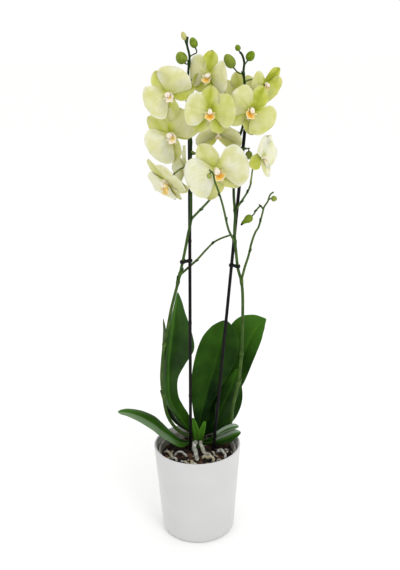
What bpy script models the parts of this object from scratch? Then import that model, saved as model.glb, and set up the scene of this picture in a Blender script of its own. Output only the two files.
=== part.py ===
"""Potted moth orchid: a ceramic cover pot, a nursery pot with bark, and a plant with two tied flower spikes.

Lengths are in millimetres and are turned to metres where a mesh is made. The frame has +Z up, with its
origin at the centre of the cover pot's flat underside. -Y is the side that the flowers face.
"""
import bmesh
import bpy
import numpy as np
from mathutils import Vector

MM = 0.001
GAP = 0.3  # clearance kept between two pieces that touch

# Cover pot: a round ceramic pot with a slight taper and a soft lower edge.
POT_HEIGHT = 140.0
POT_RIM_RADIUS = 65.0
POT_BASE_RADIUS = 54.2
POT_WALL = 3.2
POT_FLOOR = 5.0
POT_EDGE_ROUND = 6.0
POT_STEPS = 48

# Nursery pot: the thin plastic pot that stands inside.
NURSERY_HEIGHT = 126.0
NURSERY_RIM_RADIUS = 58.6
NURSERY_TOP_RADIUS = 56.6
NURSERY_BASE_RADIUS = 43.0
NURSERY_WALL = 1.0
NURSERY_RIM_DEPTH = 4.0
NURSERY_BASE = POT_FLOOR + GAP
NURSERY_STEPS = 40

# Bark medium that fills the nursery pot.
BARK_TOP = 121.0
BARK_LUMP = 1.1
BARK_RINGS = 5
BARK_STEPS = 28

# Short upright stem that carries the leaves.
STEM_X = 0.0
STEM_Y = 22.0
STEM_BOTTOM = 104.0
STEM_TOP = 176.0
STEM_RADIUS = 8.0

STAKE_RADIUS = 2.3
STAKE_BOTTOM = 20.0
CLIP_WIRE = 0.9
LEAF_THICKNESS = 1.7
LEAF_PROFILE = (0.5, 0.9, 1.2, 0.9, 0.5)  # share of the thickness at edge, half way, midrib, half way, edge
LEAF_STATIONS = 11

# Blooms: one thin sheet of five lobes each, with a lip in front.
BLOOM_THICKNESS = 1.0
BLOOM_SAMPLES = 30
BLOOM_RINGS = (0.38, 0.72, 1.0)  # where the sheet's rings lie between its centre and its edge
BLOOM_LIFT = 0.22  # how far the petals come forward and the sepals lie back
LIP_DEPTH = 0.10  # half length, radius and drop of the lip as shares of the bloom's width
LIP_RADIUS = 0.075
LIP_DROP = 0.045
BLOOM_STALK = (1.2, 1.1)  # radii at the two ends
BUD_STALK = (0.9, 0.8)
STALK_STRAIGHT = 10.0  # the last part of a stalk meets the bloom's back square on

# Stakes: where each one comes out of the bark, and its top end.
STAKES = {
    "stake_left": ((-10.5, 6, 122), (-4, 6, 600)),
    "stake_right": ((24, 6, 122), (70.5, 6, 606)),
}

# Leaves: the line of the midrib from the stem to the tip, the half widths of the near and the far half of
# the blade at those points, and the direction in which each half spreads, at the foot and at the tip.
LEAVES = {
    "leaf_low_left": {
        "spine": [(-8.2, 19.0, 130), (-18, 13, 133), (-28, 6, 139), (-40, 0, 151), (-56, -2, 166), (-67, -2, 176),
                  (-85, 0, 186), (-102, 4, 190), (-119, 8, 190)],
        "near": [3.5, 6, 13, 18, 22, 22, 20, 14, 2],
        "far": [3.5, 6, 10, 14, 19, 20, 18, 12, 2],
        "near_way": [(0.1, -1, -0.1), (0.1, -1, -0.1)],
        "far_way": [(0, 1, 0.1), (0, 1, 0.1)],
    },
    "leaf_tall_left": {
        "spine": [(-11.2, 22, 150), (-25, 22, 172), (-35, 22, 187), (-41, 24, 206), (-42, 27, 234),
                  (-41, 30, 261), (-38, 33, 288), (-34, 35, 315), (-30, 37, 342), (-26, 40, 366)],
        "near": [3, 9, 12, 13, 15, 27, 39, 31, 16, 1],
        "far": [5, 9, 12, 14, 17, 25, 31, 26, 14, 1],
        "near_way": [(1, -0.4, 0.5), (1, -0.4, 0)],
        "far_way": [(-0.2, 1, 0), (-0.05, 1, 0)],
    },
    "leaf_back_left": {
        "spine": [(-6.9, 28.5, 141), (-33, 39, 160), (-43, 49, 186), (-46, 55, 220), (-46, 57, 269),
                  (-46, 57, 297), (-48, 55, 319)],
        "near": [3, 9, 14, 17, 17, 12, 3],
        "far": [4, 11, 16, 19, 19, 13, 3],
        "near_way": [(0, -1, 0), (0.1, -1, 0)],
        "far_way": [(-0.35, 0.95, 0), (-0.35, 0.95, 0)],
    },
    "leaf_front_right": {
        "spine": [(4, 12.5, 158), (9, 17, 187), (17, 22, 219), (28, 26, 255), (37, 31, 292), (45, 36, 322)],
        "near": [6, 16, 27, 33, 29, 2],
        "far": [4, 9, 17, 26, 28, 2],
        "near_way": [(-1, -0.2, 0.25), (-1, -0.2, 0.25)],
        "far_way": [(1, 0, -0.25), (1, 0, -0.25)],
    },
    "leaf_back_right": {
        "spine": [(7, 30, 152), (28, 42, 172), (42, 48, 185), (61, 54, 218), (72, 59, 254), (86, 61, 288),
                  (98, 62, 305), (107, 62, 314)],
        "near": [4, 11, 17, 27, 34, 36, 24, 3],
        "far": [4, 8, 10, 13, 17, 20, 14, 3],
        "near_way": [(-0.8, 0.2, 0.45), (-0.8, 0.2, 0.45)],
        "far_way": [(0.9, -0.3, -0.35), (0.9, -0.3, -0.35)],
    },
    "leaf_mid_right": {
        "spine": [(9.9, 26.2, 141), (30, 31, 163), (42, 34, 190), (54, 36, 216), (63, 38, 243)],
        "near": [4, 9, 12, 12, 2],
        "far": [4, 10, 15, 14, 2],
        "near_way": [(-0.8, 0.1, 0.4), (-0.8, 0.1, 0.4)],
        "far_way": [(0.9, -0.2, -0.3), (0.9, -0.2, -0.3)],
    },
    "leaf_upright_right": {
        "spine": [(3, 31.2, 139), (34, 56, 153), (50, 68, 172), (57, 74, 196), (60, 78, 221)],
        "near": [4, 12, 16, 14, 2],
        "far": [4, 14, 18, 15, 2],
        "near_way": [(-0.9, 0.1, 0.2), (-0.9, 0.1, 0.2)],
        "far_way": [(0.95, -0.2, -0.2), (0.95, -0.2, -0.2)],
    },
    "leaf_low_right": {
        "spine": [(9, 17, 129), (25, 15, 132), (36, 13, 136), (47, 11, 141), (57, 10, 147), (66, 10, 151)],
        "near": [3, 3.5, 11, 15, 12, 2],
        "far": [4, 8, 15.5, 17.5, 14, 2],
        "near_way": [(0.5, -0.9, -0.1), (0.5, -0.9, -0.1)],
        "far_way": [(-0.3, 0.8, 0.5), (-0.3, 0.8, 0.5)],
    },
    "leaf_young": {
        "spine": [(1, 12, 139), (2, 10.5, 151), (2, 9.5, 163), (0, 9, 175)],
        "near": [5, 7, 6, 1],
        "far": [5, 7, 6, 1],
        "near_way": [(-1, -0.1, 0), (-1, -0.1, 0)],
        "far_way": [(1, -0.1, 0), (1, -0.1, 0)],
    },
}

# Roots: routes over and into the bark, with each root's radius.
ROOTS = {
    "root_arch_left": (2.3, [(-35, -7, 117), (-33.5, -9, 126), (-28, -12, 131), (-22, -14, 132),
                             (-17.5, -14.5, 126), (-16, -15, 117)]),
    "root_pale_left": (2.6, [(-51, 6, 118), (-47, 0, 126), (-42, -8, 127), (-38, -14, 125), (-35, -18, 117)]),
    "root_centre_down": (3.4, [(-2, 12, 134), (-4, 2, 138), (-5, -7, 136), (-2, -16, 130), (-1, -24, 124),
                               (-1, -29, 116)]),
    "root_centre_right": (2.8, [(4.5, 11, 135), (5, 3, 137), (7, -7, 135), (11, -11, 129), (19, -11, 124),
                                (24, -12, 117)]),
    "root_curl": (2.6, [(8, -19, 117), (9, -20, 125), (14, -22, 128), (20, -23, 128), (24, -26, 125),
                        (22, -30, 117)]),
    "root_arch_right": (2.6, [(30, -1, 117), (31, -2, 126), (35, -7, 131), (40, -14, 130), (42, -19, 124),
                              (41, -21, 117)]),
}

# Flower spikes: routes of the main stem and of the side branches, each with its radii at the two ends.
SPIKES = {
    "spike_left": {
        "main": (2.6, 1.5, [(-9, 21, 140), (-24, 21, 146), (-36, 16, 161), (-45, 8, 185), (-49, 3, 216),
                            (-51, 2, 245), (-49, 2, 273), (-46, 2, 297), (-41, 2, 319), (-34, 2, 354),
                            (-24, 1, 392), (-15, 0, 430), (-8, -1, 464), (-4, -1, 484), (-3, -1, 524),
                            (-3, -1, 559), (-2, 0, 588), (-4, 2, 616), (-6, 3, 638), (-5, 3, 660),
                            (-4, 3, 680), (-2, 3, 699), (-5, 3, 714), (-4, 3, 724)]),
        "branches": [
            (1.6, 1.2, [(-4, -1, 484), (4, -4, 493), (14, -8, 504), (23, -10, 514), (32, -12, 525),
                        (36, -13, 529)]),
            (1.6, 1.1, [(-20, 1, 405), (-16, 6, 407), (-9, 14, 411), (4, 17, 422), (16, 18, 435),
                        (27, 18, 446), (37, 17, 452), (49, 14, 457)]),
        ],
    },
    "spike_right": {
        "main": (2.7, 1.5, [(10.5, 26, 129), (21, 33, 127.5), (34, 36, 129), (46, 32, 142), (52, 20, 165),
                            (54, 10, 194), (62, 5, 233), (65, 4, 261), (67, 4, 288), (68, 4, 334),
                            (68, 4, 371), (66, 4, 393), (61, 1, 413), (58, -1, 440), (56, -2, 466),
                            (57, -2, 490), (55, -2, 520), (56, -3, 558), (61, -3, 590), (66, -3, 606),
                            (71, -2, 627), (71, 0, 643), (70, 2, 661), (68, 2, 679), (69, 2, 691),
                            (66, 2, 701), (63, 2, 704)]),
        "branches": [
            (1.5, 1.0, [(56.5, -2, 452), (50, -12, 466), (46, -20, 478), (39, -41, 511), (33, -55, 533),
                        (28, -63, 548), (26, -66, 558), (21, -67, 563)]),
            (1.7, 1.0, [(65, 4, 392), (68, 4, 402), (71, 4, 414), (76, 4, 430), (80, 4, 448), (85, 4, 463),
                        (90, 4, 472), (95, 4, 491), (97, 4, 499), (102, 4, 507), (105, 4, 516),
                        (110, 4, 520)]),
            (1.2, 0.9, [(96, 4, 496), (92, 2, 501), (87, 0, 497), (82, -1, 489.5)]),
            (1.4, 1.1, [(57, -2, 496), (63, -2, 505), (69, -2, 514), (75, -2, 524), (79, -1, 535)]),
            (1.2, 0.8, [(59, -3, 583), (66, -1, 581), (72, 2, 580), (77, 3, 580)]),
        ],
    },
}

# Blooms: centre, the way the face looks (degrees to the right, degrees up), its roll to the left in
# degrees, its width, the spike that carries it, the height at which its stalk leaves that spike and a
# point that the stalk goes round by, where something is in its way.
BLOOMS = {
    "bloom_left_1": ((-29, -24, 654), -15, 0, 40, 72, "spike_left", 644, None),
    "bloom_left_2": ((-28, -14, 602), -15, -5, 48, 78, "spike_left", 593, None),
    "bloom_left_3": ((-35, -19, 541), -50, -35, 35, 76, "spike_left", 560, None),
    "bloom_left_4": ((-10, 45, 550), -100, -10, 0, 62, "spike_left", 574, (10, 15, 571)),
    "bloom_left_5": ((23, -16, 677), -25, -8, -12, 64, "spike_left", 668, None),
    "bloom_left_6": ((23, -41, 633), 0, 0, -3, 66, "spike_left", 624, None),
    "bloom_left_7": ((31, -34, 557), 5, -5, 30, 84, "spike_left", 578, None),
    "bloom_right_1": ((77, -21, 632), 10, 0, -36, 68, "spike_right", 645, None),
    "bloom_right_2": ((97, 10, 664), 40, -20, -25, 60, "spike_right", 667, None),
    "bloom_right_3": ((65, 34, 652), 168, 0, -10, 56, "spike_right", 655, None),
    "bloom_right_4": ((34, -11, 604), 0, -50, 0, 60, "spike_right", 600, None),
    "bloom_right_5": ((93, -4, 568), 64, 0, -15, 64, "branch", 0, None),
}
BRANCH_STALK = (78, -1, 533)  # where the stalk of the bloom on the side branch starts

# The five lobes of a bloom as ellipses through its centre: direction from the top, length, half width,
# all as a share of the bloom's width.
LOBES = ((0, 0.49, 0.175), (84, 0.50, 0.285), (-84, 0.50, 0.285), (140, 0.49, 0.17), (-140, 0.49, 0.17))

# Buds: centre, half length, radius, direction of the tip, the spike that carries it and its stalk's route.
BUDS = {
    "bud_left_tip": ((-9, 4, 725), 5.6, 3.6, (-0.3, 0, 1), "spike_left", [(-5, 3, 712), (-6.6, 3.7, 716)]),
    "bud_left_side": ((-12.5, 0, 698), 8.2, 7.6, (-0.5, -0.2, 0.8), "spike_left",
                      [(-2.6, 3, 690), (-6, 1.5, 690)]),
    "bud_left_hook": ((3.5, 2, 716.5), 7, 5.3, (-0.35, 0, 0.94), "spike_left",
                      [(-2, 3, 699), (3, 3, 702), (7.5, 2.5, 704.5)]),
    "bud_right_long": ((50, 4, 693), 10, 7.2, (-0.52, 0, 0.85), "spike_right",
                       [(68, 2, 676), (61, 3, 678.5)]),
    "bud_right_tip": ((60.6, 3, 709.4), 4.2, 3.8, (-0.4, 0, 0.9), "spike_right", [(63.6, 2, 703.4)]),
    "bud_right_round": ((77, 2, 699), 7, 5.7, (0.55, 0, 0.83), "spike_right", [(68.7, 2, 687)]),
    "bud_front_small": ((21, -67, 555), 3.6, 3.2, (-0.2, 0, -1), "spike_right", [(24.5, -66.4, 560.5)]),
    "bud_branch_tip": ((110.5, 3, 511), 4.2, 4, (1, 0, -0.1), "spike_right", [(103, 4, 509)]),
    "bud_branch_side": ((75, -1, 484), 7, 5.5, (-0.8, 0, -0.6), "spike_right", [(83, -1, 491)]),
    "bud_right_low": ((76, 8, 570), 6, 4.8, (0, 0.3, -0.95), "spike_right", [(75, 3, 580)]),
}

# Clips: height, and the two things that each one holds together.
CLIPS = {
    "clip_left": (423.5, "stake_left", "spike_left"),
    "clip_right": (416.0, "stake_right", "spike_right"),
}

COLOURS = {
    "glazed_white": ((0.72, 0.72, 0.71), 0.45),
    "clear_plastic": ((0.42, 0.40, 0.36), 0.35),
    "bark": ((0.10, 0.05, 0.03), 0.9),
    "leaf_green": ((0.02, 0.09, 0.01), 0.35),
    "young_green": ((0.10, 0.25, 0.02), 0.4),
    "root_silver": ((0.45, 0.46, 0.38), 0.7),
    "spike_green": ((0.08, 0.15, 0.03), 0.45),
    "black_plastic": ((0.02, 0.015, 0.02), 0.35),
    "petal_cream": ((0.70, 0.75, 0.40), 0.55),
    "lip_orange": ((0.65, 0.30, 0.06), 0.5),
    "bud_green": ((0.20, 0.35, 0.05), 0.5),
}


def clear_scene():
    """Remove every object of the scene that the file opened with."""
    for item in list(bpy.data.objects):
        bpy.data.objects.remove(item)


def material(name):
    """A Principled material with the colour and roughness of that name."""
    found = bpy.data.materials.get(name)
    if found:
        return found
    colour, roughness = COLOURS[name]
    made = bpy.data.materials.new(name)
    made.use_nodes = True
    shader = made.node_tree.nodes["Principled BSDF"]
    shader.inputs["Base Color"].default_value = (*colour, 1.0)
    shader.inputs["Roughness"].default_value = roughness
    shader.inputs["Metallic"].default_value = 0.0
    return made


def add_object(name, mesh, colour):
    """Link a mesh to the scene as an object of that name and colour."""
    item = bpy.data.objects.new(name, mesh)
    bpy.context.scene.collection.objects.link(item)
    item.data.materials.append(material(colour))
    return item


def mesh_from_bmesh(name, shape, smooth=True):
    """Turn a bmesh in millimetres into a mesh in metres, with its faces pointing out."""
    bmesh.ops.scale(shape, vec=(MM, MM, MM), verts=shape.verts)
    bmesh.ops.recalc_face_normals(shape, faces=shape.faces)
    mesh = bpy.data.meshes.new(name)
    shape.to_mesh(mesh)
    shape.free()
    if smooth:
        mesh.shade_smooth()
        mesh.set_sharp_from_angle(angle=np.radians(40))
    return mesh


def unit(vector):
    """The vector at length 1."""
    vector = np.asarray(vector, float)
    return vector / np.linalg.norm(vector)


def smooth_route(points, spacing):
    """Points about `spacing` apart on the Catmull-Rom curve through the given points."""
    points = np.asarray(points, float)
    if len(points) == 2:
        points = np.linspace(points[0], points[1], 3)
    ends = np.vstack([2 * points[0] - points[1], points, 2 * points[-1] - points[-2]])
    spans = len(points) - 1
    place = np.linspace(0, spans, spans * 12 + 1)
    first = np.minimum(place.astype(int), spans - 1)
    share = (place - first)[:, None]
    a, b, c, d = ends[first], ends[first + 1], ends[first + 2], ends[first + 3]
    curve = 0.5 * (2 * b + (c - a) * share + (2 * a - 5 * b + 4 * c - d) * share ** 2
                   + (3 * b - a - 3 * c + d) * share ** 3)
    along = np.concatenate([[0], np.cumsum(np.linalg.norm(np.diff(curve, axis=0), axis=1))])
    count = max(3, int(round(along[-1] / spacing)) + 1)
    wanted = np.linspace(0, along[-1], count)
    return np.stack([np.interp(wanted, along, curve[:, axis]) for axis in range(3)], axis=1)


def tube_mesh(name, points, radius_start, radius_end, resolution=2):
    """A closed round tube along the points, made from a bevelled curve with filled caps."""
    curve = bpy.data.curves.new(name, "CURVE")
    curve.dimensions = "3D"
    curve.bevel_depth = MM
    curve.bevel_resolution = resolution
    curve.use_fill_caps = True
    spline = curve.splines.new("POLY")
    spline.points.add(len(points) - 1)
    radii = np.linspace(radius_start, radius_end, len(points))
    for point, place, radius in zip(spline.points, points, radii):
        point.co = (*(place * MM), 1.0)
        point.radius = radius
    guide = bpy.data.objects.new(name + "_guide", curve)
    bpy.context.scene.collection.objects.link(guide)
    evaluated = guide.evaluated_get(bpy.context.evaluated_depsgraph_get())
    mesh = bpy.data.meshes.new_from_object(evaluated)
    bpy.data.objects.remove(guide)
    shape = bmesh.new()
    shape.from_mesh(mesh)
    bmesh.ops.remove_doubles(shape, verts=shape.verts, dist=1e-6)
    bmesh.ops.recalc_face_normals(shape, faces=shape.faces)
    shape.to_mesh(mesh)
    shape.free()
    return mesh


def combine(target, mesh, operation):
    """Join a mesh to the target, or cut it away, with an exact Boolean and a hidden helper object."""
    helper = bpy.data.objects.new(target.name + "_helper", mesh)
    bpy.context.scene.collection.objects.link(helper)
    helper.hide_render = True
    helper.display_type = "WIRE"
    step = target.modifiers.new(operation.lower(), "BOOLEAN")
    step.operation = operation
    step.solver = "EXACT"
    step.object = helper


def turned(name, profile, steps, colour):
    """A solid of revolution about Z from a profile of (radius, height) that starts and ends on the axis."""
    shape = bmesh.new()
    chain = [shape.verts.new((radius, 0, height)) for radius, height in profile]
    edges = [shape.edges.new(pair) for pair in zip(chain[:-1], chain[1:])]
    bmesh.ops.spin(shape, geom=chain + edges, cent=(0, 0, 0), axis=(0, 0, 1), angle=2 * np.pi,
                   steps=steps, use_duplicate=False)
    bmesh.ops.remove_doubles(shape, verts=shape.verts, dist=1e-3)
    return add_object(name, mesh_from_bmesh(name, shape), colour)


def round_corner(centre, radius, start, end, count):
    """Points on an arc about a centre, from one angle in degrees to another."""
    angles = np.radians(np.linspace(start, end, count))
    return [(centre[0] + radius * np.cos(angle), centre[1] + radius * np.sin(angle)) for angle in angles]


def pot_radius(height):
    """Outer radius of the cover pot at a height."""
    return POT_BASE_RADIUS + (POT_RIM_RADIUS - POT_BASE_RADIUS) * height / POT_HEIGHT


def make_cover_pot():
    """The ceramic pot: flat underside, round lower edge, tapered wall and a softly rounded rim."""
    corner = (pot_radius(0) - POT_EDGE_ROUND, POT_EDGE_ROUND)
    rim = (pot_radius(POT_HEIGHT) - POT_WALL / 2, POT_HEIGHT - POT_WALL / 2)
    profile = [(0, 0)]
    profile += round_corner(corner, POT_EDGE_ROUND, -90, 0, 5)
    profile += round_corner(rim, POT_WALL / 2, 0, 180, 5)
    profile += [(pot_radius(POT_FLOOR + 6) - POT_WALL, POT_FLOOR + 6)]
    profile += [(pot_radius(POT_FLOOR) - POT_WALL - 5, POT_FLOOR), (0, POT_FLOOR)]
    turned("cover_pot", profile, POT_STEPS, "glazed_white")


def nursery_radius(height):
    """Outer radius of the nursery pot's wall at a height above its base."""
    return NURSERY_BASE_RADIUS + (NURSERY_TOP_RADIUS - NURSERY_BASE_RADIUS) * height / NURSERY_HEIGHT


def make_nursery_pot():
    """The thin plastic pot with its rolled rim."""
    top = NURSERY_BASE + NURSERY_HEIGHT
    shoulder = NURSERY_HEIGHT - NURSERY_RIM_DEPTH
    profile = [
        (0, NURSERY_BASE),
        (NURSERY_BASE_RADIUS, NURSERY_BASE),
        (nursery_radius(shoulder), NURSERY_BASE + shoulder),
        (NURSERY_RIM_RADIUS, NURSERY_BASE + shoulder),
        (NURSERY_RIM_RADIUS, top),
        (nursery_radius(NURSERY_HEIGHT) - NURSERY_WALL, top),
        (NURSERY_BASE_RADIUS - NURSERY_WALL, NURSERY_BASE + NURSERY_WALL),
        (0, NURSERY_BASE + NURSERY_WALL),
    ]
    turned("nursery_pot", profile, NURSERY_STEPS, "clear_plastic")


def bark_height(x, y):
    """Height of the bark's lumpy top: crossed waves about the width of a bark chip."""
    return BARK_TOP + BARK_LUMP * (np.sin(x / 5.1 + 0.6) * np.cos(y / 4.3) + 0.5 * np.sin((x + y) / 7.7))


def make_bark():
    """The bark that fills the nursery pot, with sockets for the stem, the stakes and the roots."""
    floor = NURSERY_WALL + GAP
    foot = nursery_radius(floor) - NURSERY_WALL - GAP
    rim = nursery_radius(BARK_TOP - NURSERY_BASE) - NURSERY_WALL - GAP - 0.2
    profile = [(0, NURSERY_BASE + floor), (foot, NURSERY_BASE + floor)]
    profile += [(rim * (1 - ring / BARK_RINGS), BARK_TOP) for ring in range(BARK_RINGS + 1)]
    bark = turned("bark_medium", profile, BARK_STEPS, "bark")
    for vertex in bark.data.vertices:
        x, y, z = vertex.co / MM
        if z > BARK_TOP - 1 and np.hypot(x, y) < rim - 1:
            vertex.co.z = bark_height(x, y) * MM
    stem_socket = tube_mesh("stem_socket", np.array([(STEM_X, STEM_Y, STEM_BOTTOM - GAP),
                                                     (STEM_X, STEM_Y, STEM_TOP)], float),
                            STEM_RADIUS + 1, STEM_RADIUS + 1, 4)
    combine(bark, stem_socket, "DIFFERENCE")
    for name, (low, high) in STAKES.items():
        foot_point = stake_point(name, STAKE_BOTTOM - GAP)
        socket = tube_mesh(name + "_socket", np.array([foot_point, high], float),
                           STAKE_RADIUS + GAP, STAKE_RADIUS + GAP, 4)
        combine(bark, socket, "DIFFERENCE")
    for name, (radius, route) in ROOTS.items():
        socket = tube_mesh(name + "_socket", lengthened(smooth_route(route, radius * 2), 0.5),
                           radius + GAP + 0.15, radius + GAP + 0.15)
        combine(bark, socket, "DIFFERENCE")


def lengthened(points, extra):
    """The points with both ends moved outwards by `extra`."""
    points = points.copy()
    points[0] += unit(points[0] - points[1]) * extra
    points[-1] += unit(points[-1] - points[-2]) * extra
    return points


def make_stem():
    """The short stem, narrowing to its growing tip."""
    profile = [
        (0, STEM_BOTTOM),
        (STEM_RADIUS * 0.9, STEM_BOTTOM),
        (STEM_RADIUS, STEM_BOTTOM + 8),
        (STEM_RADIUS, STEM_TOP - 20),
        (STEM_RADIUS * 0.85, STEM_TOP - 12),
        (STEM_RADIUS * 0.5, STEM_TOP - 4),
        (0, STEM_TOP),
    ]
    stem = turned("stem_base", profile, 20, "spike_green")
    for vertex in stem.data.vertices:
        vertex.co.x += STEM_X * MM
        vertex.co.y += STEM_Y * MM


def stake_point(name, height):
    """The point on a stake's axis at a height."""
    low, high = np.array(STAKES[name], float)
    return low + (high - low) * (height - low[2]) / (high[2] - low[2])


def make_stakes():
    """Two straight stakes that stand in the bark."""
    for name, (low, high) in STAKES.items():
        ends = np.array([stake_point(name, STAKE_BOTTOM), high], float)
        add_object(name, tube_mesh(name, ends, STAKE_RADIUS, STAKE_RADIUS, 4), "black_plastic")


def make_roots():
    """Aerial roots that arch over the bark and dip into it."""
    for name, (radius, route) in ROOTS.items():
        points = smooth_route(route, radius * 1.8)
        add_object(name, tube_mesh(name, points, radius, radius * 0.9), "root_silver")


def leaf_sections(leaf, stations):
    """Points across the blade at each station: near edge, near half, midrib, far half, far edge."""
    spine = smooth_route(leaf["spine"], 1.0)
    spine = spine[np.linspace(0, len(spine) - 1, stations).astype(int)]
    keys = np.array(leaf["spine"], float)
    key_along = np.concatenate([[0], np.cumsum(np.linalg.norm(np.diff(keys, axis=0), axis=1))])
    along = np.concatenate([[0], np.cumsum(np.linalg.norm(np.diff(spine, axis=0), axis=1))])
    share = along / along[-1]
    tangent = np.gradient(spine, axis=0)
    tangent /= np.linalg.norm(tangent, axis=1)[:, None]
    rows = []
    for side in ("near", "far"):
        width = np.interp(share, key_along / key_along[-1], leaf[side])
        start, end = (np.array(way, float) for way in leaf[side + "_way"])
        way = start + (end - start) * share[:, None]
        way -= tangent * (way * tangent).sum(axis=1)[:, None]
        way /= np.linalg.norm(way, axis=1)[:, None]
        rows.append(way * width[:, None])
    near, far = rows
    return np.stack([spine + near, spine + near * 0.55, spine, spine + far * 0.55, spine + far], axis=1)


def make_leaves():
    """Thick strap leaves: a blade with two halves that meet at the midrib, thinner at its edges."""
    thickness = LEAF_THICKNESS * np.array(LEAF_PROFILE) / 2
    for name, leaf in LEAVES.items():
        grid = leaf_sections(leaf, LEAF_STATIONS)
        across = np.gradient(grid, axis=1)
        along = np.gradient(grid, axis=0)
        normal = np.cross(across, along)
        normal /= np.linalg.norm(normal, axis=2)[..., None]
        shift = normal * thickness[None, :, None]
        colour = "young_green" if name == "leaf_young" else "leaf_green"
        sheet_solid(name, grid + shift, grid - shift, colour)


def sheet_solid(name, upper, lower, colour):
    """A closed solid between two grids of points of the same size."""
    rows, columns = upper.shape[:2]
    shape = bmesh.new()
    top = [[shape.verts.new(point) for point in row] for row in upper]
    bottom = [[shape.verts.new(point) for point in row] for row in lower]
    for row in range(rows - 1):
        for column in range(columns - 1):
            here, there = (row, column), (row + 1, column + 1)
            for layer in (top, bottom):
                shape.faces.new((layer[here[0]][here[1]], layer[there[0]][here[1]],
                                 layer[there[0]][there[1]], layer[here[0]][there[1]]))
    border = [(0, column) for column in range(columns)]
    border += [(row, columns - 1) for row in range(1, rows)]
    border += [(rows - 1, column) for column in range(columns - 2, -1, -1)]
    border += [(row, 0) for row in range(rows - 2, 0, -1)]
    for (r0, c0), (r1, c1) in zip(border, border[1:] + border[:1]):
        shape.faces.new((top[r0][c0], top[r1][c1], bottom[r1][c1], bottom[r0][c0]))
    bmesh.ops.triangulate(shape, faces=shape.faces)
    add_object(name, mesh_from_bmesh(name, shape), colour)


def bloom_axes(right, up, roll):
    """Unit vectors of a bloom: to its right, to its top and out of its face, as seen from in front."""
    right, up, roll = np.radians([right, up, roll])
    face = np.array([np.sin(right) * np.cos(up), -np.cos(right) * np.cos(up), np.sin(up)])
    top = unit(np.array([0, 0, 1]) - face * face[2])
    side = np.cross(top, face)
    return side * np.cos(roll) + top * np.sin(roll), top * np.cos(roll) - side * np.sin(roll), face


def bloom_outline(angle):
    """Radius of the bloom at an angle from its top: the furthest reach of the five lobe ellipses."""
    reach = 0.06
    for direction, length, half_width in LOBES:
        turn = angle - np.radians(direction)
        half = length / 2
        cosine = np.cos(turn)
        if cosine > 0:
            bottom = half_width ** 2 * cosine ** 2 + half ** 2 * np.sin(turn) ** 2
            reach = max(reach, 2 * half * half_width ** 2 * cosine / bottom)
    return reach


def make_petals(name, centre, axes, width):
    """The five lobes of a bloom as one thin sheet: sepals lie back and petals come forward."""
    side, top, face = axes
    shape = bmesh.new()
    layers = []
    for offset in (BLOOM_THICKNESS / 2, -BLOOM_THICKNESS / 2):
        middle = shape.verts.new(centre + face * offset)
        rings = []
        for share in BLOOM_RINGS:
            ring = []
            for step in range(BLOOM_SAMPLES):
                angle = 2 * np.pi * step / BLOOM_SAMPLES
                radius = bloom_outline(angle) * share
                lift = -BLOOM_LIFT * np.cos(2 * angle) * radius ** 2 * width
                point = centre + side * np.sin(-angle) * radius * width + top * np.cos(angle) * radius * width
                ring.append(shape.verts.new(point + face * (offset + lift)))
            rings.append(ring)
        layers.append((middle, rings))
    for middle, rings in layers:
        for step in range(BLOOM_SAMPLES):
            after = (step + 1) % BLOOM_SAMPLES
            shape.faces.new((middle, rings[0][step], rings[0][after]))
            for inner, outer in zip(rings[:-1], rings[1:]):
                shape.faces.new((inner[step], outer[step], outer[after], inner[after]))
    front, back = layers[0][1][-1], layers[1][1][-1]
    for step in range(BLOOM_SAMPLES):
        after = (step + 1) % BLOOM_SAMPLES
        shape.faces.new((front[step], back[step], back[after], front[after]))
    add_object(name, mesh_from_bmesh(name, shape), "petal_cream")


def egg(name, centre, way, half_length, radius, colour):
    """A closed egg shape with its long axis along a direction."""
    shape = bmesh.new()
    bmesh.ops.create_uvsphere(shape, u_segments=8, v_segments=6, radius=1.0)
    bmesh.ops.scale(shape, vec=(radius, radius, half_length), verts=shape.verts)
    turn = Vector((0, 0, 1)).rotation_difference(Vector(unit(way)))
    bmesh.ops.rotate(shape, cent=(0, 0, 0), matrix=turn.to_matrix(), verts=shape.verts)
    bmesh.ops.translate(shape, vec=centre, verts=shape.verts)
    add_object(name, mesh_from_bmesh(name, shape), colour)


def make_blooms():
    """Each bloom: its petals and sepals, and the lip with the column in front of them."""
    for name, (centre, right, up, roll, width, carrier, height, way_round) in BLOOMS.items():
        axes = bloom_axes(right, up, roll)
        centre = np.array(centre, float)
        make_petals(name + "_petals", centre, axes, width)
        depth = LIP_DEPTH * width
        lip = centre - axes[1] * LIP_DROP * width + axes[2] * (BLOOM_THICKNESS / 2 + GAP + depth)
        egg(name + "_lip", lip, axes[2], depth, LIP_RADIUS * width, "lip_orange")


def make_buds():
    """Closed buds at the ends of their stalks."""
    for name, (centre, half_length, radius, way, carrier, stalk) in BUDS.items():
        egg(name, centre, way, half_length, radius, "bud_green")


def route_point(route, height):
    """The point of a rising route at a height."""
    points = smooth_route(route, 1.0)
    return points[np.argmin(abs(points[:, 2] - height))]


def bloom_stalk(name, route):
    """Route of a bloom's stalk: out of the spike, round behind the bloom and up to its back."""
    centre, right, up, roll, width, carrier, height, way_round = BLOOMS[name]
    face = bloom_axes(right, up, roll)[2]
    end = np.array(centre, float) - face * (BLOOM_THICKNESS / 2 + GAP)
    start = np.array(BRANCH_STALK, float) if carrier == "branch" else route_point(route, height)
    behind = end - face * STALK_STRAIGHT
    middle = start * 0.5 + behind * 0.5 + np.array([0, 0, 2.0])
    if way_round:
        middle = np.array(way_round, float)
    return smooth_route([start, middle, behind, (behind + end) / 2, end], 5.0)


def bud_stalk(name):
    """Route of a bud's stalk, which stops just short of the bud's foot."""
    centre, half_length, radius, way, carrier, stalk = BUDS[name]
    end = np.array(centre, float) - unit(way) * (half_length + GAP)
    return smooth_route(stalk + [tuple(end)], 2.5)


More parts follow.
